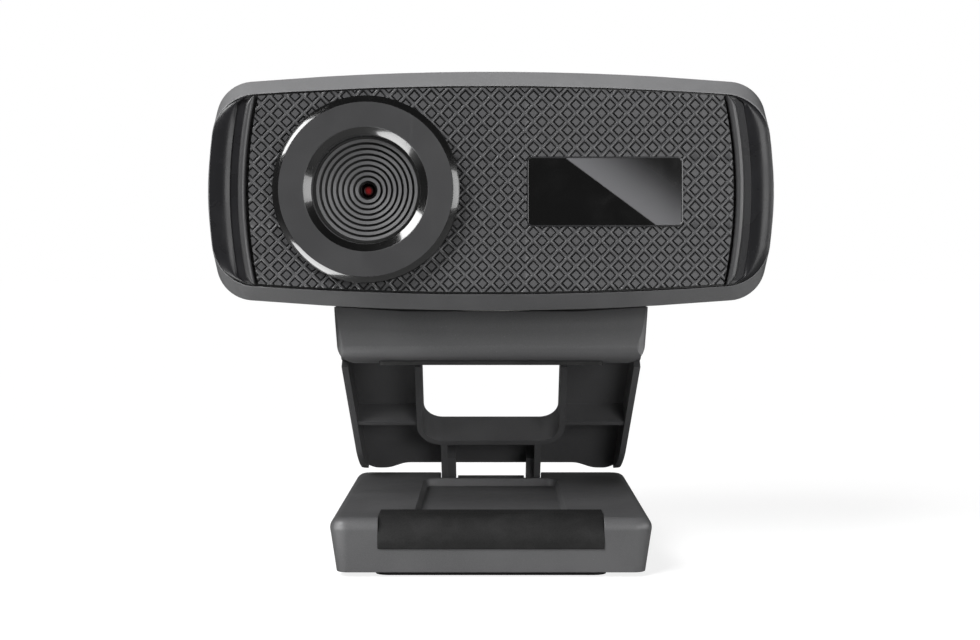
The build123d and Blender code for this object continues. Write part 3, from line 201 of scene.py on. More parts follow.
GROUPS = {
    "webcam_stage": StageSettings, "webcam_panel": PanelSettings, "webcam_caps": CapSettings,
    "webcam_ring": RingSettings, "webcam_badge": BadgeSettings, "webcam_finish": FinishSettings,
}


# ------------------------------------------------------------------ working by hand
def deselect():
    """Leaves edit mode and deselects every object."""
    if bpy.context.object and bpy.context.object.mode != "OBJECT":
        bpy.ops.object.mode_set(mode="OBJECT")
    bpy.ops.object.select_all(action="DESELECT")


def only(obj):
    """Makes obj the one selected, active object."""
    deselect()
    obj.select_set(True)
    bpy.context.view_layer.objects.active = obj


def edit(obj):
    """Opens obj in edit mode with nothing selected."""
    only(obj)
    bpy.ops.object.mode_set(mode="EDIT")
    bpy.ops.mesh.select_mode(type="VERT")
    bpy.ops.mesh.select_all(action="DESELECT")


def leave():
    """Leaves edit mode."""
    bpy.ops.object.mode_set(mode="OBJECT")


def pick(obj, faces=None, edges=None, points=None):
    """Selects in edit mode the faces, edges or points for which the given test is true."""
    kind = "FACE" if faces else "EDGE" if edges else "VERT"
    bpy.ops.mesh.select_mode(type=kind)
    bpy.ops.mesh.select_all(action="DESELECT")
    shape = bmesh.from_edit_mesh(obj.data)
    shape.normal_update()
    for part, test in ((shape.faces, faces), (shape.edges, edges), (shape.verts, points)):
        if test:
            for item in part:
                if test(item):
                    item.select_set(True)
    shape.select_flush_mode()
    bmesh.update_edit_mesh(obj.data)


def apply_modifiers(obj):
    """Applies every modifier of obj in order."""
    only(obj)
    for modifier in list(obj.modifiers):
        bpy.ops.object.modifier_apply(modifier=modifier.name)


def place_in_mesh(obj):
    """Puts the object's place, turn and scale into its mesh."""
    only(obj)
    bpy.ops.object.transform_apply(location=True, rotation=True, scale=True)


def smooth(obj, angle=30):
    """Shades smooth, except over edges sharper than angle."""
    only(obj)
    bpy.ops.object.shade_smooth_by_angle(angle=math.radians(angle), keep_sharp_edges=False)


def outwards(obj, merge=0.0002 * MM):
    """Merges doubles and turns every face outwards."""
    edit(obj)
    bpy.ops.mesh.select_all(action="SELECT")
    bpy.ops.mesh.remove_doubles(threshold=merge)
    bpy.ops.mesh.normals_make_consistent(inside=False)
    leave()


def dress(obj, *materials):
    """Gives obj its material slots."""
    obj.data.materials.clear()
    for material in materials:
        obj.data.materials.append(material)


def hand_over(obj, name, body, nodes):
    """Names a finished piece, parents it to the empty of the body it rides on, and hides the frame's nodes it
    stands for.
    """
    place_in_mesh(obj)
    obj.name = name
    obj.data.name = name
    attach(obj, body)
    if nodes:
        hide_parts(*nodes)
    return obj


def copy_of(node):
    """A merged copy of a CAD node's mesh, to be finished by hand."""
    source = frame["nodes"][node]
    mesh = source.data.copy()
    mesh.transform(source.matrix_world)
    obj = bpy.data.objects.new(node + "_copy", mesh)
    bpy.context.scene.collection.objects.link(obj)
    edit(obj)
    bpy.ops.mesh.select_all(action="SELECT")
    bpy.ops.mesh.remove_doubles(threshold=0.002 * MM)
    bpy.ops.mesh.dissolve_limited(angle_limit=math.radians(1.0))
    leave()
    return obj


def turned(name, profile, centre_x, centre_z, steps):
    """A piece turned about the lens axis.  The profile is a list of (radius, y)."""
    bpy.ops.mesh.primitive_plane_add(size=MM, location=(0, 0, 0))
    obj = bpy.context.object
    obj.name = name
    edit(obj)
    bpy.ops.mesh.select_all(action="SELECT")
    bpy.ops.mesh.merge(type="CENTER")
    start = Vector((centre_x + profile[0][0], profile[0][1], centre_z))
    bpy.ops.transform.translate(value=start)
    for (radius, y), (next_radius, next_y) in zip(profile, profile[1:]):
        step = (next_radius - radius, next_y - y, 0)
        bpy.ops.mesh.extrude_region_move(TRANSFORM_OT_translate={"value": step})
    bpy.ops.mesh.select_all(action="SELECT")
    bpy.ops.mesh.spin(steps=steps, angle=FULL_TURN, center=(centre_x, 0, centre_z), axis=(0, 1, 0))
    leave()
    outwards(obj)
    return obj


# ------------------------------------------------------------------ shader groups
def new_group(name, inputs, outputs):
    """An empty shader group with named sockets: (name, default) in and names out."""
    group = bpy.data.node_groups.new(name, "ShaderNodeTree")
    for socket, default in inputs:
        made = group.interface.new_socket(name=socket, in_out="INPUT", socket_type="NodeSocketFloat")
        made.default_value = default
    for socket in outputs:
        group.interface.new_socket(name=socket, in_out="OUTPUT", socket_type="NodeSocketFloat")
    enter = group.nodes.new("NodeGroupInput")
    out = group.nodes.new("NodeGroupOutput")
    return group, enter, out


def add_node(tree, kind, inputs=None, **settings):
    """A node with its settings and inputs; an input is a value or another node's output."""
    node = tree.nodes.new(kind)
    for key, value in settings.items():
        setattr(node, key, value)
    for key, value in (inputs or {}).items():
        if isinstance(value, bpy.types.NodeSocket):
            tree.links.new(value, node.inputs[key])
        else:
            node.inputs[key].default_value = value
    return node


def make_grain_group():
    """Fine spark-eroded grain of a moulding: a height, and a mask of its high spots."""
    group, enter, out = new_group("moulded_grain", [("Scale", 9000.0), ("Softness", 0.5)],
                                  ["Height", "Mask"])
    place = add_node(group, "ShaderNodeTexCoord")
    fine = add_node(group, "ShaderNodeTexNoise", {
        "Vector": place.outputs["Object"], "Scale": enter.outputs["Scale"], "Detail": 3.0,
        "Roughness": enter.outputs["Softness"]})
    pits = add_node(group, "ShaderNodeTexVoronoi", {
        "Vector": place.outputs["Object"], "Scale": enter.outputs["Scale"]})
    both = add_node(group, "ShaderNodeMath", {
        0: fine.outputs["Fac"], 1: pits.outputs["Distance"], 2: 0.25}, operation="MULTIPLY_ADD")
    high = add_node(group, "ShaderNodeMapRange", {
        "Value": fine.outputs["Fac"], "From Min": 0.42, "From Max": 0.66})
    group.links.new(both.outputs[0], out.inputs["Height"])
    group.links.new(high.outputs[0], out.inputs["Mask"])
    return group


def make_handling_group():
    """Faint marks of handling: broad smudges and fine hairline scratches."""
    group, enter, out = new_group("handling_marks", [("Smudge Scale", 90.0), ("Hairline Scale", 900.0)],
                                  ["Smudges", "Hairlines"])
    place = add_node(group, "ShaderNodeTexCoord")
    broad = add_node(group, "ShaderNodeTexNoise", {
        "Vector": place.outputs["Object"], "Scale": enter.outputs["Smudge Scale"], "Detail": 5.0,
        "Roughness": 0.62, "Distortion": 0.4})
    smudge = add_node(group, "ShaderNodeMapRange", {
        "Value": broad.outputs["Fac"], "From Min": 0.4, "From Max": 0.7}, interpolation_type="SMOOTHSTEP")
    stretch = add_node(group, "ShaderNodeMapping", {"Vector": place.outputs["Object"]})
    stretch.inputs["Scale"].default_value = (1.0, 1.0, 0.06)
    stretch.inputs["Rotation"].default_value = (0.3, 0.5, 0.2)
    thin = add_node(group, "ShaderNodeTexNoise", {
        "Vector": stretch.outputs[0], "Scale": enter.outputs["Hairline Scale"], "Detail": 2.0})
    line = add_node(group, "ShaderNodeMapRange", {
        "Value": thin.outputs["Fac"], "From Min": 0.66, "From Max": 0.72})
    group.links.new(smudge.outputs[0], out.inputs["Smudges"])
    group.links.new(line.outputs[0], out.inputs["Hairlines"])
    return group


def make_dust_group():
    """Sparse specks of dust."""
    group, enter, out = new_group("dust_specks", [("Scale", 1400.0), ("Size", 0.09)], ["Specks"])
    place = add_node(group, "ShaderNodeTexCoord")
    specks = add_node(group, "ShaderNodeTexVoronoi", {
        "Vector": place.outputs["Object"], "Scale": enter.outputs["Scale"]})
    small = add_node(group, "ShaderNodeMath", {0: specks.outputs["Distance"], 1: enter.outputs["Size"]},
                     operation="LESS_THAN")
    patches = add_node(group, "ShaderNodeTexNoise", {"Vector": place.outputs["Object"], "Scale": 260.0})
    where = add_node(group, "ShaderNodeMapRange", {
        "Value": patches.outputs["Fac"], "From Min": 0.52, "From Max": 0.64})
    both = add_node(group, "ShaderNodeMath", {0: small.outputs[0], 1: where.outputs[0]},
                    operation="MULTIPLY")
    group.links.new(both.outputs[0], out.inputs["Specks"])
    return group


# ------------------------------------------------------------------ materials
shared = {}
finishes = {}


def use_group(tree, name, **values):
    """Places a shared group in a material, with its own values."""
    node = tree.nodes.new("ShaderNodeGroup")
    node.node_tree = shared[name]
    for key, value in values.items():
        node.inputs[key.replace("_", " ").title()].default_value = value
    return node


def blank_material(name, **constants):
    """A material with a principled shader whose constant values are set on its own sockets."""
    material = bpy.data.materials.new(name)
    material.use_nodes = True
    tree = material.node_tree
    shader = tree.nodes["Principled BSDF"]
    for key, value in constants.items():
        shader.inputs[key.replace("_", " ")].default_value = value
    return material, tree, shader


def tint(colour, factor):
    """A colour made lighter or darker, with full alpha."""
    return (*[min(1.0, part * factor) for part in colour[:3]], 1.0)


def mix_colour(tree, mask, low, high):
    """Colour output between two colours or outputs, by a mask."""
    mix = add_node(tree, "ShaderNodeMix", data_type="RGBA")
    tree.links.new(mask, mix.inputs["Factor"])
    for socket, value in ((mix.inputs[6], low), (mix.inputs[7], high)):
        if isinstance(value, bpy.types.NodeSocket):
            tree.links.new(value, socket)
        else:
            socket.default_value = value
    return mix.outputs[2]


def moulded_plastic(name, colour, roughness=0.42, spread=0.12, grain=9000.0, bump=0.12, dust=0.5,
                    groove_shade_depths=None):
    """Moulded plastic with fine grain, smudges that change its gloss, hairlines and a little dust.

    A pair of depths, along Y, sets where painted shade in the relief's grooves fades out: the grooves are
    coloured nearly black where shade falls.
    """
    material, tree, shader = blank_material(name, IOR=1.5)
    surface = use_group(tree, "moulded_grain", scale=grain)
    marks = use_group(tree, "handling_marks")
    specks = use_group(tree, "dust_specks")
    base = mix_colour(tree, marks.outputs["Smudges"], tint(colour, 0.93), tint(colour, 1.08))
    grainy = mix_colour(tree, surface.outputs["Mask"], base, tint(colour, 1.16))
    dusty = add_node(tree, "ShaderNodeMath", {0: specks.outputs["Specks"], 1: dust}, operation="MULTIPLY")
    final = mix_colour(tree, dusty.outputs[0], grainy, tint(colour, 2.2))
    if groove_shade_depths:
        # painted shade: the relief's grooves are coloured nearly black, fading out towards the ridges
        place = add_node(tree, "ShaderNodeTexCoord")
        axes = add_node(tree, "ShaderNodeSeparateXYZ", {0: place.outputs["Object"]})
        out_of_groove_shade = add_node(tree, "ShaderNodeMapRange", {
            "Value": axes.outputs["Y"], "From Min": groove_shade_depths[0], "From Max": groove_shade_depths[1]})
        final = mix_colour(tree, out_of_groove_shade.outputs[0], tint(colour, 0.02), final)
    tree.links.new(final, shader.inputs["Base Color"])
    gloss = add_node(tree, "ShaderNodeMapRange", {
        "Value": marks.outputs["Smudges"], "To Min": roughness - spread / 2,
        "To Max": roughness + spread / 2})
    scratched = add_node(tree, "ShaderNodeMath", {
        0: marks.outputs["Hairlines"], 1: 0.06, 2: gloss.outputs[0]}, operation="MULTIPLY_ADD")
    tree.links.new(scratched.outputs[0], shader.inputs["Roughness"])
    relief = add_node(tree, "ShaderNodeBump", {
        "Strength": bump, "Distance": 0.00004, "Height": surface.outputs["Height"]})
    tree.links.new(relief.outputs[0], shader.inputs["Normal"])
    return material


def gloss_plastic(name, colour, roughness=0.1, coat=0.6, ior=1.5):
    """Polished plastic: clear reflections, broken by faint smudges and hairlines."""
    material, tree, shader = blank_material(name, IOR=ior, Coat_Roughness=0.04)
    marks = use_group(tree, "handling_marks", smudge_scale=140.0, hairline_scale=1600.0)
    specks = use_group(tree, "dust_specks", scale=1900.0, size=0.07)
    base = mix_colour(tree, marks.outputs["Smudges"], tint(colour, 0.9), tint(colour, 1.12))
    final = mix_colour(tree, specks.outputs["Specks"], base, tint(colour, 5.0))
    tree.links.new(final, shader.inputs["Base Color"])
    gloss = add_node(tree, "ShaderNodeMapRange", {
        "Value": marks.outputs["Smudges"], "To Min": roughness, "To Max": roughness + 0.08})
    scratched = add_node(tree, "ShaderNodeMath", {
        0: marks.outputs["Hairlines"], 1: 0.12, 2: gloss.outputs[0]}, operation="MULTIPLY_ADD")
    tree.links.new(scratched.outputs[0], shader.inputs["Roughness"])
    clear = add_node(tree, "ShaderNodeMapRange", {
        "Value": marks.outputs["Smudges"], "To Min": coat, "To Max": coat * 0.8})
    tree.links.new(clear.outputs[0], shader.inputs["Coat Weight"])
    return material


def rubber(name, colour):
    """Matt black rubber with a soft, slightly porous face."""
    material, tree, shader = blank_material(name, IOR=1.45, Specular_IOR_Level=0.35)
    surface = use_group(tree, "moulded_grain", scale=5200.0, softness=0.7)
    marks = use_group(tree, "handling_marks", smudge_scale=220.0)
    base = mix_colour(tree, marks.outputs["Smudges"], tint(colour, 0.8), tint(colour, 1.5))
    tree.links.new(base, shader.inputs["Base Color"])
    rough = add_node(tree, "ShaderNodeMapRange", {
        "Value": surface.outputs["Mask"], "To Min": 0.62, "To Max": 0.82})
    tree.links.new(rough.outputs[0], shader.inputs["Roughness"])
    relief = add_node(tree, "ShaderNodeBump", {
        "Strength": 0.3, "Distance": 0.00006, "Height": surface.outputs["Height"]})
    tree.links.new(relief.outputs[0], shader.inputs["Normal"])
    return material


def metal(name, colour, roughness=0.28):
    """Plated steel with fine turning marks."""
    material, tree, shader = blank_material(name, Metallic=1.0, IOR=2.4)
    marks = use_group(tree, "handling_marks", smudge_scale=300.0, hairline_scale=4000.0)
    base = mix_colour(tree, marks.outputs["Smudges"], tint(colour, 0.86), tint(colour, 1.06))
    tree.links.new(base, shader.inputs["Base Color"])
    rough = add_node(tree, "ShaderNodeMapRange", {
        "Value": marks.outputs["Hairlines"], "To Min": roughness, "To Max": roughness + 0.2})
    tree.links.new(rough.outputs[0], shader.inputs["Roughness"])
    relief = add_node(tree, "ShaderNodeBump", {
        "Strength": 0.15, "Distance": 0.00002, "Height": marks.outputs["Hairlines"]})
    tree.links.new(relief.outputs[0], shader.inputs["Normal"])
    return material


def board_finish(name):
    """Green solder mask with faint tracks and gold pads."""
    material, tree, shader = blank_material(name, IOR=1.5)
    place = add_node(tree, "ShaderNodeTexCoord")
    tracks = add_node(tree, "ShaderNodeTexBrick", {
        "Vector": place.outputs["Object"], "Scale": 900.0, "Mortar Size": 0.03,
        "Color1": (0.012, 0.1, 0.04, 1), "Color2": (0.018, 0.13, 0.055, 1), "Mortar": (0.03, 0.2, 0.09, 1)})
    dots = add_node(tree, "ShaderNodeTexVoronoi", {"Vector": place.outputs["Object"], "Scale": 520.0})
    pads = add_node(tree, "ShaderNodeMath", {0: dots.outputs["Distance"], 1: 0.16}, operation="LESS_THAN")
    colour = mix_colour(tree, pads.outputs[0], tracks.outputs["Color"], (0.62, 0.45, 0.16, 1))
    tree.links.new(colour, shader.inputs["Base Color"])
    tree.links.new(pads.outputs[0], shader.inputs["Metallic"])
    rough = add_node(tree, "ShaderNodeMapRange", {
        "Value": tracks.outputs["Fac"], "To Min": 0.3, "To Max": 0.45})
    tree.links.new(rough.outputs[0], shader.inputs["Roughness"])
    return material


def glass_with_painted_glow(name, centre, inner, outer, radius):
    """Dark lens glass whose middle is coloured and fades to black towards its edge, with a painted glow: the
    coloured middle emits light though the lens is no lamp.
    """
    material, tree, shader = blank_material(name, IOR=1.6, Coat_Roughness=0.02, Coat_IOR=1.6)
    place = add_node(tree, "ShaderNodeTexCoord")
    centred = add_node(tree, "ShaderNodeMapping", {"Vector": place.outputs["Object"]})
    centred.inputs["Location"].default_value = (-centre[0], 0.0, -centre[2])
    flat = add_node(tree, "ShaderNodeVectorMath", {0: centred.outputs[0]}, operation="MULTIPLY")
    flat.inputs[1].default_value = (1.0, 0.0, 1.0)
    reach = add_node(tree, "ShaderNodeVectorMath", {0: flat.outputs[0]}, operation="LENGTH")
    glow = add_node(tree, "ShaderNodeMapRange", {
        "Value": reach.outputs["Value"], "From Min": radius * 0.15, "From Max": radius,
        "To Min": 1.0, "To Max": 0.0}, interpolation_type="SMOOTHSTEP")
    marks = use_group(tree, "handling_marks", smudge_scale=900.0)
    colour = mix_colour(tree, glow.outputs[0], outer, inner)
    tree.links.new(colour, shader.inputs["Base Color"])
    # painted glow: the coloured middle emits light, though the lens is no lamp
    light = mix_colour(tree, glow.outputs[0], (0, 0, 0, 1), inner)
    tree.links.new(light, shader.inputs["Emission Color"])
    shader.inputs["Emission Strength"].default_value = 0.3
    rough = add_node(tree, "ShaderNodeMapRange", {
        "Value": marks.outputs["Smudges"], "To Min": 0.04, "To Max": 0.1})
    tree.links.new(rough.outputs[0], shader.inputs["Roughness"])
    shader.inputs["Coat Weight"].default_value = 1.0
    return material


def badge_print_and_painted_reflection(name):
    """Gloss black plate, two-toned along a diagonal, with a painted reflection: the upper side is grey at the
    split and fades to black away from it.
    """
    material, tree, shader = blank_material(name, IOR=1.5, Coat_Roughness=0.03)
    middle = (badge_low + badge_high) / 2
    width = badge_high.x - badge_low.x
    place = add_node(tree, "ShaderNodeTexCoord")
    centred = add_node(tree, "ShaderNodeMapping", {"Vector": place.outputs["Object"]})
    centred.inputs["Location"].default_value = -middle
    axes = add_node(tree, "ShaderNodeSeparateXYZ", {0: centred.outputs[0]})
    # the split falls from the upper left to the lower right
    slant = add_node(tree, "ShaderNodeMath", {0: axes.outputs["X"], 1: 0.74, 2: axes.outputs["Z"]},
                     operation="MULTIPLY_ADD")
    split = add_node(tree, "ShaderNodeMapRange", {
        "Value": slant.outputs[0], "From Min": 0.55 * MM, "From Max": 0.75 * MM})
    # painted reflection: above the split the plate is coloured grey, fading to black away from the split
    painted_reflection_fade = add_node(tree, "ShaderNodeMapRange", {
        "Value": slant.outputs[0], "From Min": 0.0, "From Max": width * 0.48},
        interpolation_type="SMOOTHSTEP")
    marks = use_group(tree, "handling_marks", smudge_scale=200.0, hairline_scale=2200.0)
    upper = mix_colour(tree, painted_reflection_fade.outputs[0], (0.12, 0.12, 0.125, 1), (0.006, 0.006, 0.006, 1))
    both = mix_colour(tree, split.outputs[0], (0.002, 0.002, 0.002, 1), upper)
    tree.links.new(both, shader.inputs["Base Color"])
    rough = add_node(tree, "ShaderNodeMapRange", {
        "Value": marks.outputs["Smudges"], "To Min": 0.08, "To Max": 0.16})
    tree.links.new(rough.outputs[0], shader.inputs["Roughness"])
    shader.inputs["Coat Weight"].default_value = 0.5
    return material


def make_finishes(settings):
    """Every group and every finish of the object, by the record's slot names."""
    shared["moulded_grain"] = make_grain_group()
    shared["handling_marks"] = make_handling_group()
    shared["dust_specks"] = make_dust_group()
    lens_centre = (lens_low + lens_high) / 2
    finishes.update({
        "stand_plastic": moulded_plastic("stand_plastic", settings.stand_colour, 0.5, 0.1),
        "housing_plastic": moulded_plastic("housing_plastic", settings.housing_colour, 0.46, 0.04,
                                           grain=6000.0, bump=0.25),
        "surround_plastic": moulded_plastic("surround_plastic", settings.surround_colour, 0.36, 0.08),
        # the panel's grooves get painted shade: nearly black at the panel's floor, fading out 0.5 mm in front
        # of it
        "panel_plastic": moulded_plastic("panel_plastic", settings.panel_colour, 0.42, 0.08, dust=0.15,
                                         groove_shade_depths=(texture_floor, texture_floor - 0.5 * MM)),
        "ring_satin": moulded_plastic("ring_satin", settings.ring_colour, 0.34, 0.06, grain=12000.0,
                                      bump=0.08, dust=0.2),
        "baffle_plastic": moulded_plastic("baffle_plastic", (0.085, 0.085, 0.087), 0.5, 0.06, dust=0.1),
        "black_moulding": moulded_plastic("black_moulding", (0.004, 0.004, 0.004), 0.55, 0.1),
        "nylon": moulded_plastic("nylon", (0.62, 0.61, 0.57), 0.45, 0.1, dust=0.1),
        "header_plastic": moulded_plastic("header_plastic", (0.8, 0.78, 0.7), 0.4, 0.1, dust=0.1),
        "chip_package": moulded_plastic("chip_package", (0.03, 0.03, 0.03), 0.5, 0.1, bump=0.3),
        "gloss_plastic_black": gloss_plastic("gloss_plastic_black", (0.012, 0.012, 0.013), 0.26, 0.04,
                                             ior=1.3),
        "ring_polished": gloss_plastic("ring_polished", (0.004, 0.004, 0.004), 0.16, 0.6),
        "badge_frame": gloss_plastic("badge_frame", (0.012, 0.012, 0.013), 0.3, 0.2),
        "bead_satin": moulded_plastic("bead_satin", (0.04, 0.04, 0.041), 0.4, 0.06, dust=0.1),
        "sensor_glass": gloss_plastic("sensor_glass", (0.06, 0.05, 0.09), 0.05),
        "badge_gloss": badge_print_and_painted_reflection("badge_gloss"),
        "soft_rubber": rubber("soft_rubber", (0.009, 0.009, 0.009)),
        "steel": metal("steel", (0.26, 0.26, 0.27), 0.36),
        "crystal_can": metal("crystal_can", (0.7, 0.7, 0.7), 0.35),
        "circuit_board": board_finish("circuit_board"),
        "lens_glass": glass_with_painted_glow("lens_glass", lens_centre, (0.26, 0.002, 0.003, 1),
                                   (0.004, 0.001, 0.001, 1), 0.7 * MM),
        "filter_glass": glass_with_painted_glow("filter_glass", lens_centre, (0.1, 0.35, 0.3, 1),
                                     (0.05, 0.12, 0.12, 1), 3.0 * MM),
    })


class WEBCAM_OT_finishes(bpy.types.Operator):
    """Shared shader groups, and every finish"""

    bl_idname = "webcam.finishes"
    bl_label = "Finishes"

    def execute(self, context):
        make_finishes(context.scene.webcam_finish)
        return {"FINISHED"}


# ------------------------------------------------------------------ head
def arc_through(half_span, bow):
    """Radius of an arc that rises by bow over a chord of twice half_span."""
    return (half_span**2 + bow**2) / (2 * bow)


class PanelEdge:
    """The front panel's outline: four bulging sides and round corners, about the head's middle."""

    side_bow = 1.45 * MM
    top_bow = 1.6 * MM
    corner = 6.5 * MM

    def __init__(self, inset):
        half_width = panel_half_width - inset
        half_height = panel_half_height - inset
        self.round = self.corner - inset
        self.side_radius = arc_through(half_height - self.top_bow, self.side_bow)
        self.top_radius = arc_through(half_width - self.side_bow, self.top_bow)
        self.side_centre = half_width - self.side_radius
        self.top_centre = half_height - self.top_radius
        z = half_height / 2
        for _ in range(20):
            x = self.side_centre + math.sqrt((self.side_radius - self.round)**2 - z * z)
            z = self.top_centre + math.sqrt((self.top_radius - self.round)**2 - x * x)
        self.corner_centre = (x, z)

    def distance(self, x, z):
        """How far (x, z) lies inside the outline."""
        x, z = abs(x), abs(z)
        corner_x, corner_z = self.corner_centre
        side = self.side_radius - math.hypot(x - self.side_centre, z)
        top = self.top_radius - math.hypot(x, z - self.top_centre)
        if x > corner_x and z > corner_z:
            return min(side, top, self.round - math.hypot(x - corner_x, z - corner_z))
        return min(side, top)

    def reach(self, z, start):
        """The x of the outline at height z, outwards of start."""
        low, high = start, panel_half_width
        for _ in range(HALVINGS):
            middle = (low + high) / 2
            if self.distance(middle, z) > 0:
                low = middle
            else:
                high = middle
        return low


def field_half_width(z, half, radius):
    """Half the textured field's width at height z from its middle."""
    return half - radius + math.sqrt(radius**2 - z * z)


class WEBCAM_OT_front_panel(bpy.types.Operator):
    """Front panel with its field of raised diamonds"""

    bl_idname = "webcam.front_panel"
    bl_label = "Front panel"

    def execute(self, context):
        panel = context.scene.webcam_panel
        relief = self.diamond_field(panel)
        base = copy_of("front_panel")
        only(base)
        relief.select_set(True)
        bpy.ops.object.join()
        smooth(base, 32)
        dress(base, finishes["panel_plastic"])
        hand_over(base, "front_panel_relief", "head", ["front_panel"])
        return {"FINISHED"}

    def one_diamond(self, panel, centre):
        """One cell: half the width of a ridge all round, a groove, and a raised pad."""
        side = panel.cell_pitch / math.sqrt(2)
        bpy.ops.mesh.primitive_plane_add(size=side, location=centre, rotation=(math.pi / 2, math.pi / 4, 0))
        cell = bpy.context.object
        place_in_mesh(cell)
        edit(cell)
        bpy.ops.mesh.select_all(action="SELECT")
        crown = panel.relief_depth * 0.08
        flank = panel.relief_depth * 0.52
        pad_round = panel.relief_depth * 0.1
        bpy.ops.mesh.inset(thickness=panel.ridge_width * 0.42, depth=-crown)
        bpy.ops.mesh.inset(thickness=panel.groove_width * 0.6, depth=-flank)
        bpy.ops.mesh.inset(thickness=panel.groove_width * 0.06, depth=crown + flank - panel.relief_depth)
        bpy.ops.mesh.inset(thickness=panel.groove_width * 0.34)
        bpy.ops.mesh.inset(thickness=panel.groove_width * 0.06, depth=panel.relief_depth - 2 * pad_round)
        bpy.ops.mesh.inset(thickness=panel.groove_width * 0.14, depth=pad_round)
        leave()
        return cell

    def diamond_field(self, panel):
        """Diamonds over the whole field, cut to its outline and closed at the back."""
        edge = PanelEdge(field_gap)
        half = head_half_width - panel.end_margin
        columns = math.ceil(2 * half / panel.cell_pitch) + 1
        rows = math.ceil(2 * panel_half_height / panel.cell_pitch) + 1
        face = texture_floor - panel.relief_stand
        start = Vector((-(columns - 1) / 2 * panel.cell_pitch, face,
                        head_z - (rows - 1) / 2 * panel.cell_pitch))
        field = self.one_diamond(panel, start)
        for count, axis in ((columns, 0), (rows, 2)):
            array = field.modifiers.new("repeat", "ARRAY")
            array.count = count
            array.use_relative_offset = False
            array.use_constant_offset = True
            offset = [0.0, 0.0, 0.0]
            offset[axis] = panel.cell_pitch
            array.constant_offset_displace = offset
        apply_modifiers(field)
        edit(field)
        bpy.ops.mesh.select_all(action="SELECT")
        half_pitch = panel.cell_pitch / 2
        bpy.ops.mesh.duplicate_move(TRANSFORM_OT_translate={"value": (half_pitch, 0, half_pitch)})
        bpy.ops.mesh.select_all(action="SELECT")
        bpy.ops.mesh.remove_doubles(threshold=0.004 * MM)
        self.trim(panel, edge, half)
        self.open_round(field)
        self.close_back(field)
        leave()
        outwards(field)
        return field

    def trim(self, panel, edge, half):
        """Cuts the field to its bulging ends and its bowed top and bottom."""
        cuts = []
        radius = panel.end_radius
        end_angle = math.asin(panel_half_height / radius)
        for k in range(-5, 6):
            angle = end_angle * k / 5
            for side in (-1, 1):
                normal = Vector((side * math.cos(angle), 0, math.sin(angle)))
                centre = Vector((side * (half - radius), 0, head_z))
                cuts.append((centre + normal * radius, normal))
        top_angle = math.asin(half / edge.top_radius)
        for k in range(-6, 7):
            angle = top_angle * k / 6
            for side in (-1, 1):
                normal = Vector((math.sin(angle), 0, side * math.cos(angle)))
                centre = Vector((0, 0, head_z + side * edge.top_centre))
                cuts.append((centre + normal * edge.top_radius, normal))
        for point, normal in cuts:
            bpy.ops.mesh.select_all(action="SELECT")
            bpy.ops.mesh.bisect(plane_co=point, plane_no=normal, clear_outer=True, threshold=0.001 * MM)

    def open_round(self, field):
        """Removes the faces behind the focus ring's hub and behind the badge."""
        hub_clearance = 11.2 * MM
        margin = 0.1 * MM
        for point, normal in (((badge_low.x + margin, 0, 0), (1, 0, 0)),
                              ((badge_high.x - margin, 0, 0), (1, 0, 0)),
                              ((0, 0, badge_low.z + margin), (0, 0, 1)),
                              ((0, 0, badge_high.z - margin), (0, 0, 1))):
            bpy.ops.mesh.select_all(action="SELECT")
            bpy.ops.mesh.bisect(plane_co=point, plane_no=normal, threshold=0.001 * MM)

        def hidden(face):
            middle = face.calc_center_median()
            in_badge = badge_low.x < middle.x - margin < badge_high.x - 2 * margin \
                and badge_low.z < middle.z - margin < badge_high.z - 2 * margin
            return in_badge or any(math.hypot(v.co.x - lens_x, v.co.z - head_z) < hub_clearance
                                   for v in face.verts)

        pick(field, faces=hidden)
        bpy.ops.mesh.delete(type="FACE")

    def close_back(self, field):
        """Extrudes the field's free edges back into the panel and fills between them."""
        back = texture_floor + 0.1 * MM
        pick(field, edges=lambda edge: edge.is_boundary)
        bpy.ops.mesh.extrude_region_move(TRANSFORM_OT_translate={"value": (0, MM, 0)})
        shape = bmesh.from_edit_mesh(field.data)
        for vert in shape.verts:
            if vert.select:
                vert.co.y = back
        bmesh.update_edit_mesh(field.data)
        bpy.ops.mesh.remove_doubles(threshold=0.001 * MM)
        bpy.ops.mesh.fill()


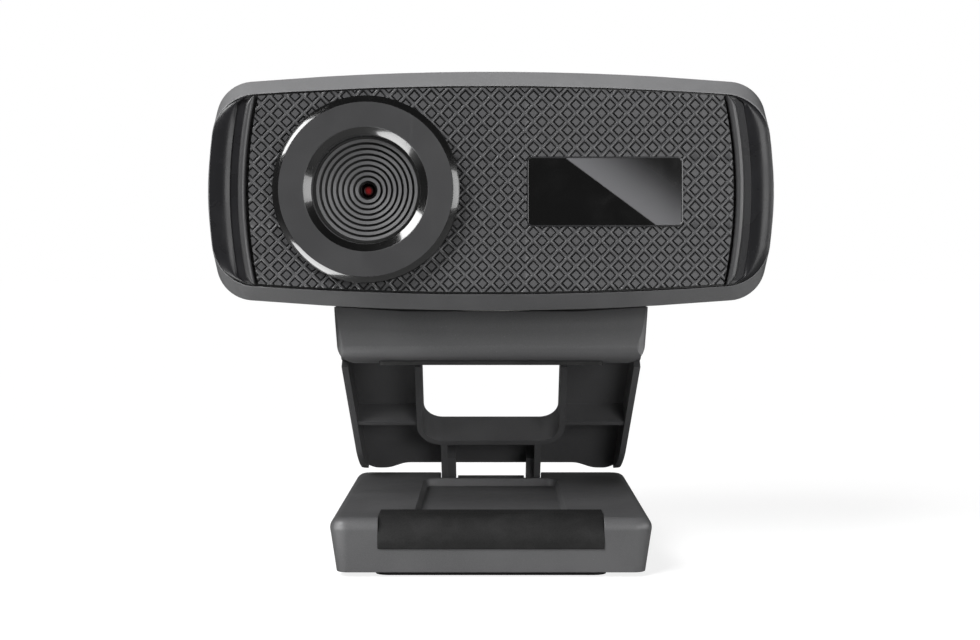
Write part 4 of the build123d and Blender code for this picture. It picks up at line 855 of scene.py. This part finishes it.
class WEBCAM_OT_end_caps(bpy.types.Operator):
    """Gloss end caps with a raised bead along the textured field"""

    bl_idname = "webcam.end_caps"
    bl_label = "End caps"

    def execute(self, context):
        caps = context.scene.webcam_caps
        panel = context.scene.webcam_panel
        half = head_half_width - panel.end_margin + cap_overlap
        for name, side in SIDES.items():
            cap = self.cap(caps, panel, side)
            smooth(cap, 50)
            dress(cap, finishes["gloss_plastic_black"], finishes["bead_satin"])
            for face in cap.data.polygons:
                z = face.center.z - head_z
                start = field_half_width(z, half, panel.end_radius)
                if abs(face.center.x) - start < caps.bead_width:
                    face.material_index = 1
            hand_over(cap, name + "_gloss_cap", "head", [name + "_end_cap"])
        return {"FINISHED"}

    def cap(self, caps, panel, side):
        """A grid laid between the field's end and the panel's outline, then given its walls."""
        edge = PanelEdge(cap_gap)
        half = head_half_width - panel.end_margin + cap_overlap
        bead, channel = caps.bead_width, caps.channel_width
        ledge = bead + channel
        offsets = [0, 0.06, 0.2, 0.35, 0.5, 0.65, 0.8, 0.94, 1.0]
        inner = [bead * share for share in offsets] + [bead + channel * s for s in (0.06, 0.94, 1.0)]
        outer = [0.02, 0.06, 0.14, 0.24, 0.36, 0.5, 0.64, 0.76, 0.86, 0.94, 1.0]
        tip = self.tip_height(edge, panel, half)
        bpy.ops.mesh.primitive_grid_add(x_subdivisions=len(inner) + len(outer) - 1,
                                        y_subdivisions=caps.rows, size=MM)
        cap = bpy.context.object
        columns = len(inner) + len(outer)
        front = cap_low.y
        floor = front + 0.28 * MM
        for index, vert in enumerate(cap.data.vertices):
            row, column = divmod(index, columns)
            z = tip * math.sin((row / caps.rows - 0.5) * math.pi) * 0.9999
            start = field_half_width(z, half, panel.end_radius)
            width = edge.reach(z, start) - start
            squeeze = min(1.0, width / (ledge + 1.2 * MM))
            if column < len(inner):
                across = inner[column] * squeeze
            else:
                across = ledge * squeeze + (width - ledge * squeeze) * outer[column - len(inner)]
            x = start + across
            rim = edge.distance(x, z)
            y = self.height(across / squeeze if squeeze else 0, rim, front, floor, caps, ledge)
            vert.co = (side * x, y, head_z + z)
        cap.data.update()
        edit(cap)
        pick(cap, edges=lambda e: e.is_boundary)
        bpy.ops.mesh.extrude_region_move(TRANSFORM_OT_translate={"value": (0, MM, 0)})
        shape = bmesh.from_edit_mesh(cap.data)
        for vert in shape.verts:
            if vert.select:
                vert.co.y = cap_high.y
        bmesh.update_edit_mesh(cap.data)
        bpy.ops.mesh.remove_doubles(threshold=0.001 * MM)
        bpy.ops.mesh.fill()
        leave()
        outwards(cap)
        return cap

    def tip_height(self, edge, panel, half):
        """How high the cap reaches before its two edges meet."""
        low, high = 0.0, panel_half_height
        for _ in range(HALVINGS):
            middle = (low + high) / 2
            start = field_half_width(middle, half, panel.end_radius)
            if edge.distance(start, middle) > 0:
                low = middle
            else:
                high = middle
        return low

    def height(self, across, rim, front, floor, caps, ledge):
        """The cap's front face: bead, channel, then a face that falls away to the rim."""
        if across <= caps.bead_width * 1.0001:
            share = across / caps.bead_width
            y = floor - caps.bead_height * math.sin(math.pi * min(1.0, share)) ** 0.5
        elif across < ledge * 0.999:
            y = floor
        else:
            inwards = across - ledge
            share = inwards / max(inwards + rim, 0.01 * MM)
            y = front + caps.arch * ((2 * share - 1) ** 2 - 0.75)
        return y


class WEBCAM_OT_badge(bpy.types.Operator):
    """Blank badge plate, two-toned with a painted reflection, and a slim raised edge"""

    bl_idname = "webcam.badge"
    bl_label = "Badge plate"

    def execute(self, context):
        badge = context.scene.webcam_badge
        size = badge_high - badge_low
        middle = (badge_low + badge_high) / 2
        bpy.ops.mesh.primitive_cube_add(size=1, location=middle, scale=size)
        plate = context.object
        place_in_mesh(plate)
        edit(plate)

        def upright(edge):
            return abs((edge.verts[0].co - edge.verts[1].co).normalized().y) > 0.9

        pick(plate, edges=upright)
        bpy.ops.mesh.bevel(offset=badge.corner, segments=6)
        pick(plate, faces=lambda face: face.normal.y < -0.9)
        bpy.ops.mesh.inset(thickness=badge.frame_width)
        bpy.ops.mesh.inset(thickness=0.06 * MM, depth=-badge.window_sink)
        leave()
        only(plate)
        bevel = plate.modifiers.new("edge", "BEVEL")
        bevel.width = 0.02 * MM
        bevel.segments = 2
        bevel.limit_method = "ANGLE"
        bevel.angle_limit = math.radians(40)
        apply_modifiers(plate)
        outwards(plate)
        smooth(plate, 35)
        window_y = badge_low.y + badge.window_sink / 2
        dress(plate, finishes["badge_frame"], finishes["badge_gloss"])
        for face in plate.data.polygons:
            if face.normal.y < -0.99 and face.center.y > window_y:
                face.material_index = 1
        hand_over(plate, "badge_plate_framed", "head", ["badge_plate"])
        return {"FINISHED"}


class WEBCAM_OT_focus_ring(bpy.types.Operator):
    """Focus ring with a satin face, a polished outer chamfer and an inner bevel"""

    bl_idname = "webcam.focus_ring"
    bl_label = "Focus ring"

    def execute(self, context):
        ring = context.scene.webcam_ring
        lip = 2.55 * MM
        hub_radius = 10.6 * MM
        seat_radius = 8.52 * MM
        shoulder = 2.85 * MM
        tiny = 0.06 * MM
        slope = (ring_radius - ring.face_radius) / ring.chamfer_depth
        profile = [
            (ring.mouth_radius + tiny, 0), (ring.face_radius - tiny, 0),
            (ring.face_radius + tiny * slope, tiny),
            (ring_radius - tiny * slope, ring.chamfer_depth - tiny),
            (ring_radius, ring.chamfer_depth + tiny), (ring_radius, shoulder - tiny),
            (ring_radius - tiny, shoulder), (hub_radius, shoulder),
            (hub_radius, ring_high.y - ring_face), (seat_radius, ring_high.y - ring_face),
            (seat_radius, lip), (ring.throat_radius - 0.3 * MM, lip),
            (ring.throat_radius - tiny, ring.throat_depth + tiny),
            (ring.throat_radius + tiny * 0.6, ring.throat_depth - tiny * 0.4),
            (ring.mouth_radius - tiny * 0.6, tiny),
        ]
        profile.append(profile[0])
        body = turned("focus_ring_turned", [(r, ring_face + y) for r, y in profile], lens_x, head_z,
                      ring.steps)
        smooth(body, 24)
        dress(body, finishes["ring_satin"], finishes["ring_polished"])
        for face in body.data.polygons:
            radius = math.hypot(face.center.x - lens_x, face.center.z - head_z)
            if radius > ring.face_radius or radius < ring.mouth_radius:
                face.material_index = 1
        hand_over(body, "focus_ring_turned", "focus", ["focus_ring"])
        return {"FINISHED"}


class WEBCAM_OT_lens_baffle(bpy.types.Operator):
    """Grooved cone that leads in to the lens"""

    bl_idname = "webcam.lens_baffle"
    bl_label = "Lens baffle"

    def execute(self, context):
        ring = context.scene.webcam_ring
        rim_depth = 2.8 * MM
        eye_depth = 5.3 * MM
        back_depth = baffle_high.y - ring_face
        outer = (baffle_high.x - baffle_low.x) / 2
        lip = baffle_low.y - ring_face
        pitch = (ring.cone_radius - ring.eye_radius) / ring.grooves
        slope = (eye_depth - rim_depth) / (ring.cone_radius - ring.eye_radius)
        profile = [(outer, lip), (ring.cone_radius + 0.1 * MM, lip)]
        for k in range(ring.grooves):
            edge = ring.cone_radius - k * pitch
            for share, sink in ((0.0, 0.0), (0.56, 0.0), (0.58, 0.5), (0.98, 0.5)):
                profile.append((edge - share * pitch, rim_depth + share * pitch * slope
                                + (ring.cone_radius - edge) * slope + sink * MM))
        profile += [(ring.eye_radius, eye_depth), (ring.eye_radius, back_depth),
                    (ring.cone_radius - 2.4 * MM, back_depth), (ring.cone_radius, lip + 1.6 * MM),
                    (outer, lip + 1.6 * MM), (outer, lip)]
        body = turned("baffle_turned", [(r, ring_face + y) for r, y in profile], lens_x, head_z,
                      ring.steps)
        smooth(body, 30)
        dress(body, finishes["baffle_plastic"], finishes["black_moulding"])
        # painted shade: the faces in the grooves, at and beyond the cone's edge and round the eye are given
        # the near-black moulding where shade falls; the lands keep the baffle plastic
        for face in body.data.polygons:
            radius = math.hypot(face.center.x - lens_x, face.center.z - head_z)
            share = (ring.cone_radius - radius) / pitch % 1
            in_groove = radius < ring.cone_radius and 0.565 < share < 0.995
            beyond = radius > ring.cone_radius - 0.01 * MM
            if in_groove or beyond or radius < ring.eye_radius + 0.3 * MM:
                face.material_index = 1
        hand_over(body, "lens_baffle_turned", "focus", ["lens_baffle"])
        return {"FINISHED"}


class WEBCAM_OT_front_lens(bpy.types.Operator):
    """Domed front element"""

    bl_idname = "webcam.front_lens"
    bl_label = "Front lens"

    def execute(self, context):
        steps = context.scene.webcam_ring.steps // 2
        radius = (lens_high.x - lens_low.x) / 2
        flat = lens_low.y + 0.2 * MM
        dome_radius = 1.2 * MM
        ball = arc_through(dome_radius, flat - lens_low.y)
        profile = [(0.0, lens_high.y), (radius, lens_high.y), (radius, flat)]
        for k in range(9):
            r = dome_radius * (1 - k / 8)
            profile.append((r, lens_low.y + ball - math.sqrt(ball**2 - r * r)))
        lens = turned("front_lens_dome", profile, lens_x, head_z, steps)
        smooth(lens, 30)
        dress(lens, finishes["lens_glass"])
        hand_over(lens, "front_lens_dome", "lens", ["front_lens"])
        return {"FINISHED"}


# ------------------------------------------------------------------ shells finished from the frame
def finished_shell(node, name, body, edge_width):
    """A copy of a shell with its sharp edges broken, and shading that follows its large faces."""
    shell = copy_of(node)
    bevel = shell.modifiers.new("broken edges", "BEVEL")
    bevel.width = edge_width
    bevel.segments = 2
    bevel.limit_method = "ANGLE"
    bevel.angle_limit = math.radians(28)
    bevel.use_clamp_overlap = True
    bevel.harden_normals = False
    apply_modifiers(shell)
    smooth(shell, 35)
    flat = shell.modifiers.new("flat faces", "WEIGHTED_NORMAL")
    flat.weight = 100
    flat.keep_sharp = True
    apply_modifiers(shell)
    slot = SLOTS[node]
    dress(shell, finishes[slot])
    return hand_over(shell, name, body, [node])


class WEBCAM_OT_head_shells(bpy.types.Operator):
    """Surround and rear housing, with broken edges"""

    bl_idname = "webcam.head_shells"
    bl_label = "Head shells"

    def execute(self, context):
        finished_shell("surround", "surround_band", "head", 0.12 * MM)
        finished_shell("rear_housing", "rear_housing_shell", "head", 0.15 * MM)
        return {"FINISHED"}


class WEBCAM_OT_stand(bpy.types.Operator):
    """Foot, leg and jaw of the stand, with broken edges"""

    bl_idname = "webcam.stand"
    bl_label = "Stand"

    def execute(self, context):
        for node, name, body in (("foot_shell", "foot_top_shell", "foot"),
                                 ("foot_front_pad", "foot_nose_pad", "foot"),
                                 ("leg_frame", "leg_moulding", "leg"),
                                 ("jaw_shell", "jaw_moulding", "jaw")):
            finished_shell(node, name, body, 0.12 * MM)
        return {"FINISHED"}


class WEBCAM_OT_small_parts(bpy.types.Operator):
    """Procedural finishes for every part that keeps its frame shape"""

    bl_idname = "webcam.small_parts"
    bl_label = "Small parts"

    def execute(self, context):
        for node, obj in frame["nodes"].items():
            if obj.hide_render:
                continue
            material = finishes[SLOTS[node]]
            if not obj.material_slots:
                obj.data.materials.append(material)
            for slot in obj.material_slots:
                slot.material = material
        return {"FINISHED"}


# ------------------------------------------------------------------ stage
def aim(obj, target):
    """Turns a light to face target."""
    direction = Vector(target) - obj.location
    obj.rotation_euler = direction.to_track_quat("-Z", "Y").to_euler()


def soft_light(name, place, target, size, power):
    """A square studio light that the camera doesn't see."""
    light = bpy.data.lights.new(name, "AREA")
    light.shape = "SQUARE"
    light.size = size
    light.energy = power
    obj = bpy.data.objects.new(name, light)
    bpy.context.scene.collection.objects.link(obj)
    obj.location = place
    aim(obj, target)
    obj.visible_camera = False
    return obj


class WEBCAM_OT_stage(bpy.types.Operator):
    """Pale floor, soft studio lights and the camera"""

    bl_idname = "webcam.stage"
    bl_label = "Stage"

    def execute(self, context):
        stage = context.scene.webcam_stage
        self.camera(context.scene, stage)
        self.floor()
        self.room(context.scene)
        self.lights(stage)
        context.scene.view_settings.view_transform = "Standard"
        return {"FINISHED"}

    def camera(self, scene, stage):
        """The camera looks level along +Y, with its frame shifted down to the foot."""
        data = bpy.data.cameras.new("camera")
        data.lens = stage.focal_length
        data.sensor_width = 36.0
        data.shift_x = -0.001
        data.shift_y = stage.rise
        data.clip_start = 0.01
        data.clip_end = 20.0
        obj = bpy.data.objects.new("camera", data)
        scene.collection.objects.link(obj)
        obj.location = (0, -stage.camera_distance, stage.camera_height)
        obj.rotation_euler = (math.pi / 2, 0, 0)
        scene.camera = obj

    def floor(self):
        """A pale sheet that stays nearly white, with only a soft shadow on it."""
        shadow_reach = 0.09
        white_reach = 0.24
        bpy.ops.mesh.primitive_circle_add(vertices=96, radius=3.0, fill_type="NGON")
        floor = bpy.context.object
        floor.name = "floor"
        material = bpy.data.materials.new("pale_floor")
        material.use_nodes = True
        tree = material.node_tree
        shader = tree.nodes["Principled BSDF"]
        place = add_node(tree, "ShaderNodeTexCoord")
        paper = add_node(tree, "ShaderNodeTexNoise", {"Vector": place.outputs["Object"], "Scale": 40.0})
        reach = add_node(tree, "ShaderNodeVectorMath", {0: place.outputs["Object"]}, operation="LENGTH")
        far = add_node(tree, "ShaderNodeMapRange", {
            "Value": reach.outputs["Value"], "From Min": shadow_reach, "From Max": white_reach},
            interpolation_type="SMOOTHSTEP")
        near = mix_colour(tree, paper.outputs["Fac"], (0.30, 0.30, 0.30, 1), (0.32, 0.32, 0.32, 1))
        colour = mix_colour(tree, far.outputs[0], near, (0.0, 0.0, 0.0, 1))
        tree.links.new(colour, shader.inputs["Base Color"])
        shader.inputs["Roughness"].default_value = 0.9
        shader.inputs["Specular IOR Level"].default_value = 0.1
        seen = add_node(tree, "ShaderNodeLightPath")
        bright = add_node(tree, "ShaderNodeMapRange", {
            "Value": far.outputs[0], "To Min": 0.82, "To Max": 1.0})
        glow = add_node(tree, "ShaderNodeMapRange", {
            "Value": seen.outputs["Is Camera Ray"], "To Min": 0.08, "To Max": bright.outputs[0]})
        shader.inputs["Emission Color"].default_value = (1, 1, 1, 1)
        tree.links.new(glow.outputs[0], shader.inputs["Emission Strength"])
        dress(floor, material)

    def room(self, scene):
        """White behind the object, and a grey room that is brighter at the front for reflections."""
        world = bpy.data.worlds.new("room")
        world.use_nodes = True
        scene.world = world
        tree = world.node_tree
        background = tree.nodes["Background"]
        place = add_node(tree, "ShaderNodeTexCoord")
        axes = add_node(tree, "ShaderNodeSeparateXYZ", {0: place.outputs["Generated"]})
        height = add_node(tree, "ShaderNodeMapRange", {
            "Value": axes.outputs["Z"], "From Min": -0.1, "From Max": 0.8, "To Min": 0.1, "To Max": 0.03})
        ramp = mix_colour(tree, height.outputs[0], (0.0, 0.0, 0.0, 1), (1, 1, 1, 1))
        seen = add_node(tree, "ShaderNodeLightPath")
        colour = mix_colour(tree, seen.outputs["Is Camera Ray"], ramp, (1, 1, 1, 1))
        tree.links.new(colour, background.inputs["Color"])
        background.inputs["Strength"].default_value = 1.0

    def lights(self, stage):
        """A soft key from the left, a fill from the right, a top light, and cards round the focus ring."""
        middle = (0, -0.01, 0.045)
        key = soft_light("key", (-0.3, -0.46, 0.42), middle, 0.3, stage.key_power)
        soft_light("fill", (0.3, -0.6, 0.1), middle, 0.3, stage.fill_power)
        top = soft_light("top", (-0.1, 0.0, 0.6), middle, 0.5, stage.top_power)
        key.visible_glossy = False
        top.visible_glossy = False
        # each card gleams only on polished edges: its angle round the ring, its distance and its width
        ring = (lens_x, ring_face, head_z)
        usual_reach = 0.3
        forward = 0.25
        for name, angle, reach, width in (("right_card", -7, usual_reach, 0.24),
                                          ("left_card", 143, usual_reach, 0.14),
                                          ("low_card", -128, 0.055, 0.034)):
            turn = math.radians(angle)
            place = (lens_x + reach * math.cos(turn), ring_face - forward * reach,
                     head_z + reach * math.sin(turn))
            card = soft_light(name, place, ring, width, stage.card_power * (reach / usual_reach) ** 2)
            card.visible_diffuse = False


OPERATORS = [
    WEBCAM_OT_stage, WEBCAM_OT_finishes, WEBCAM_OT_front_panel, WEBCAM_OT_end_caps, WEBCAM_OT_badge,
    WEBCAM_OT_focus_ring, WEBCAM_OT_lens_baffle, WEBCAM_OT_front_lens,
    WEBCAM_OT_head_shells, WEBCAM_OT_stand, WEBCAM_OT_small_parts,
]


class WEBCAM_PT_maker(bpy.types.Panel):
    """Lists every piece that can be made"""

    bl_idname = "WEBCAM_PT_maker"
    bl_label = "Webcam"
    bl_space_type = "VIEW_3D"
    bl_region_type = "UI"
    bl_category = "Webcam"

    def draw(self, context):
        layout = self.layout
        for operator in OPERATORS:
            layout.operator(operator.bl_idname)
        for group, kind in GROUPS.items():
            box = layout.box()
            box.label(text=kind.__doc__)
            for field in kind.__annotations__:
                box.prop(getattr(context.scene, group), field)


def register():
    for kind in [*GROUPS.values(), *OPERATORS, WEBCAM_PT_maker]:
        bpy.utils.register_class(kind)
    for group, kind in GROUPS.items():
        setattr(bpy.types.Scene, group, bpy.props.PointerProperty(type=kind))


def unregister():
    for group in GROUPS:
        delattr(bpy.types.Scene, group)
    for kind in reversed([*GROUPS.values(), *OPERATORS, WEBCAM_PT_maker]):
        bpy.utils.unregister_class(kind)


def main():
    register()
    for operator in OPERATORS:
        group, call = operator.bl_idname.split(".")
        deselect()
        if getattr(getattr(bpy.ops, group), call)() != {"FINISHED"}:
            raise RuntimeError("could not make " + operator.bl_label)


if __name__ == "__main__":
    main()
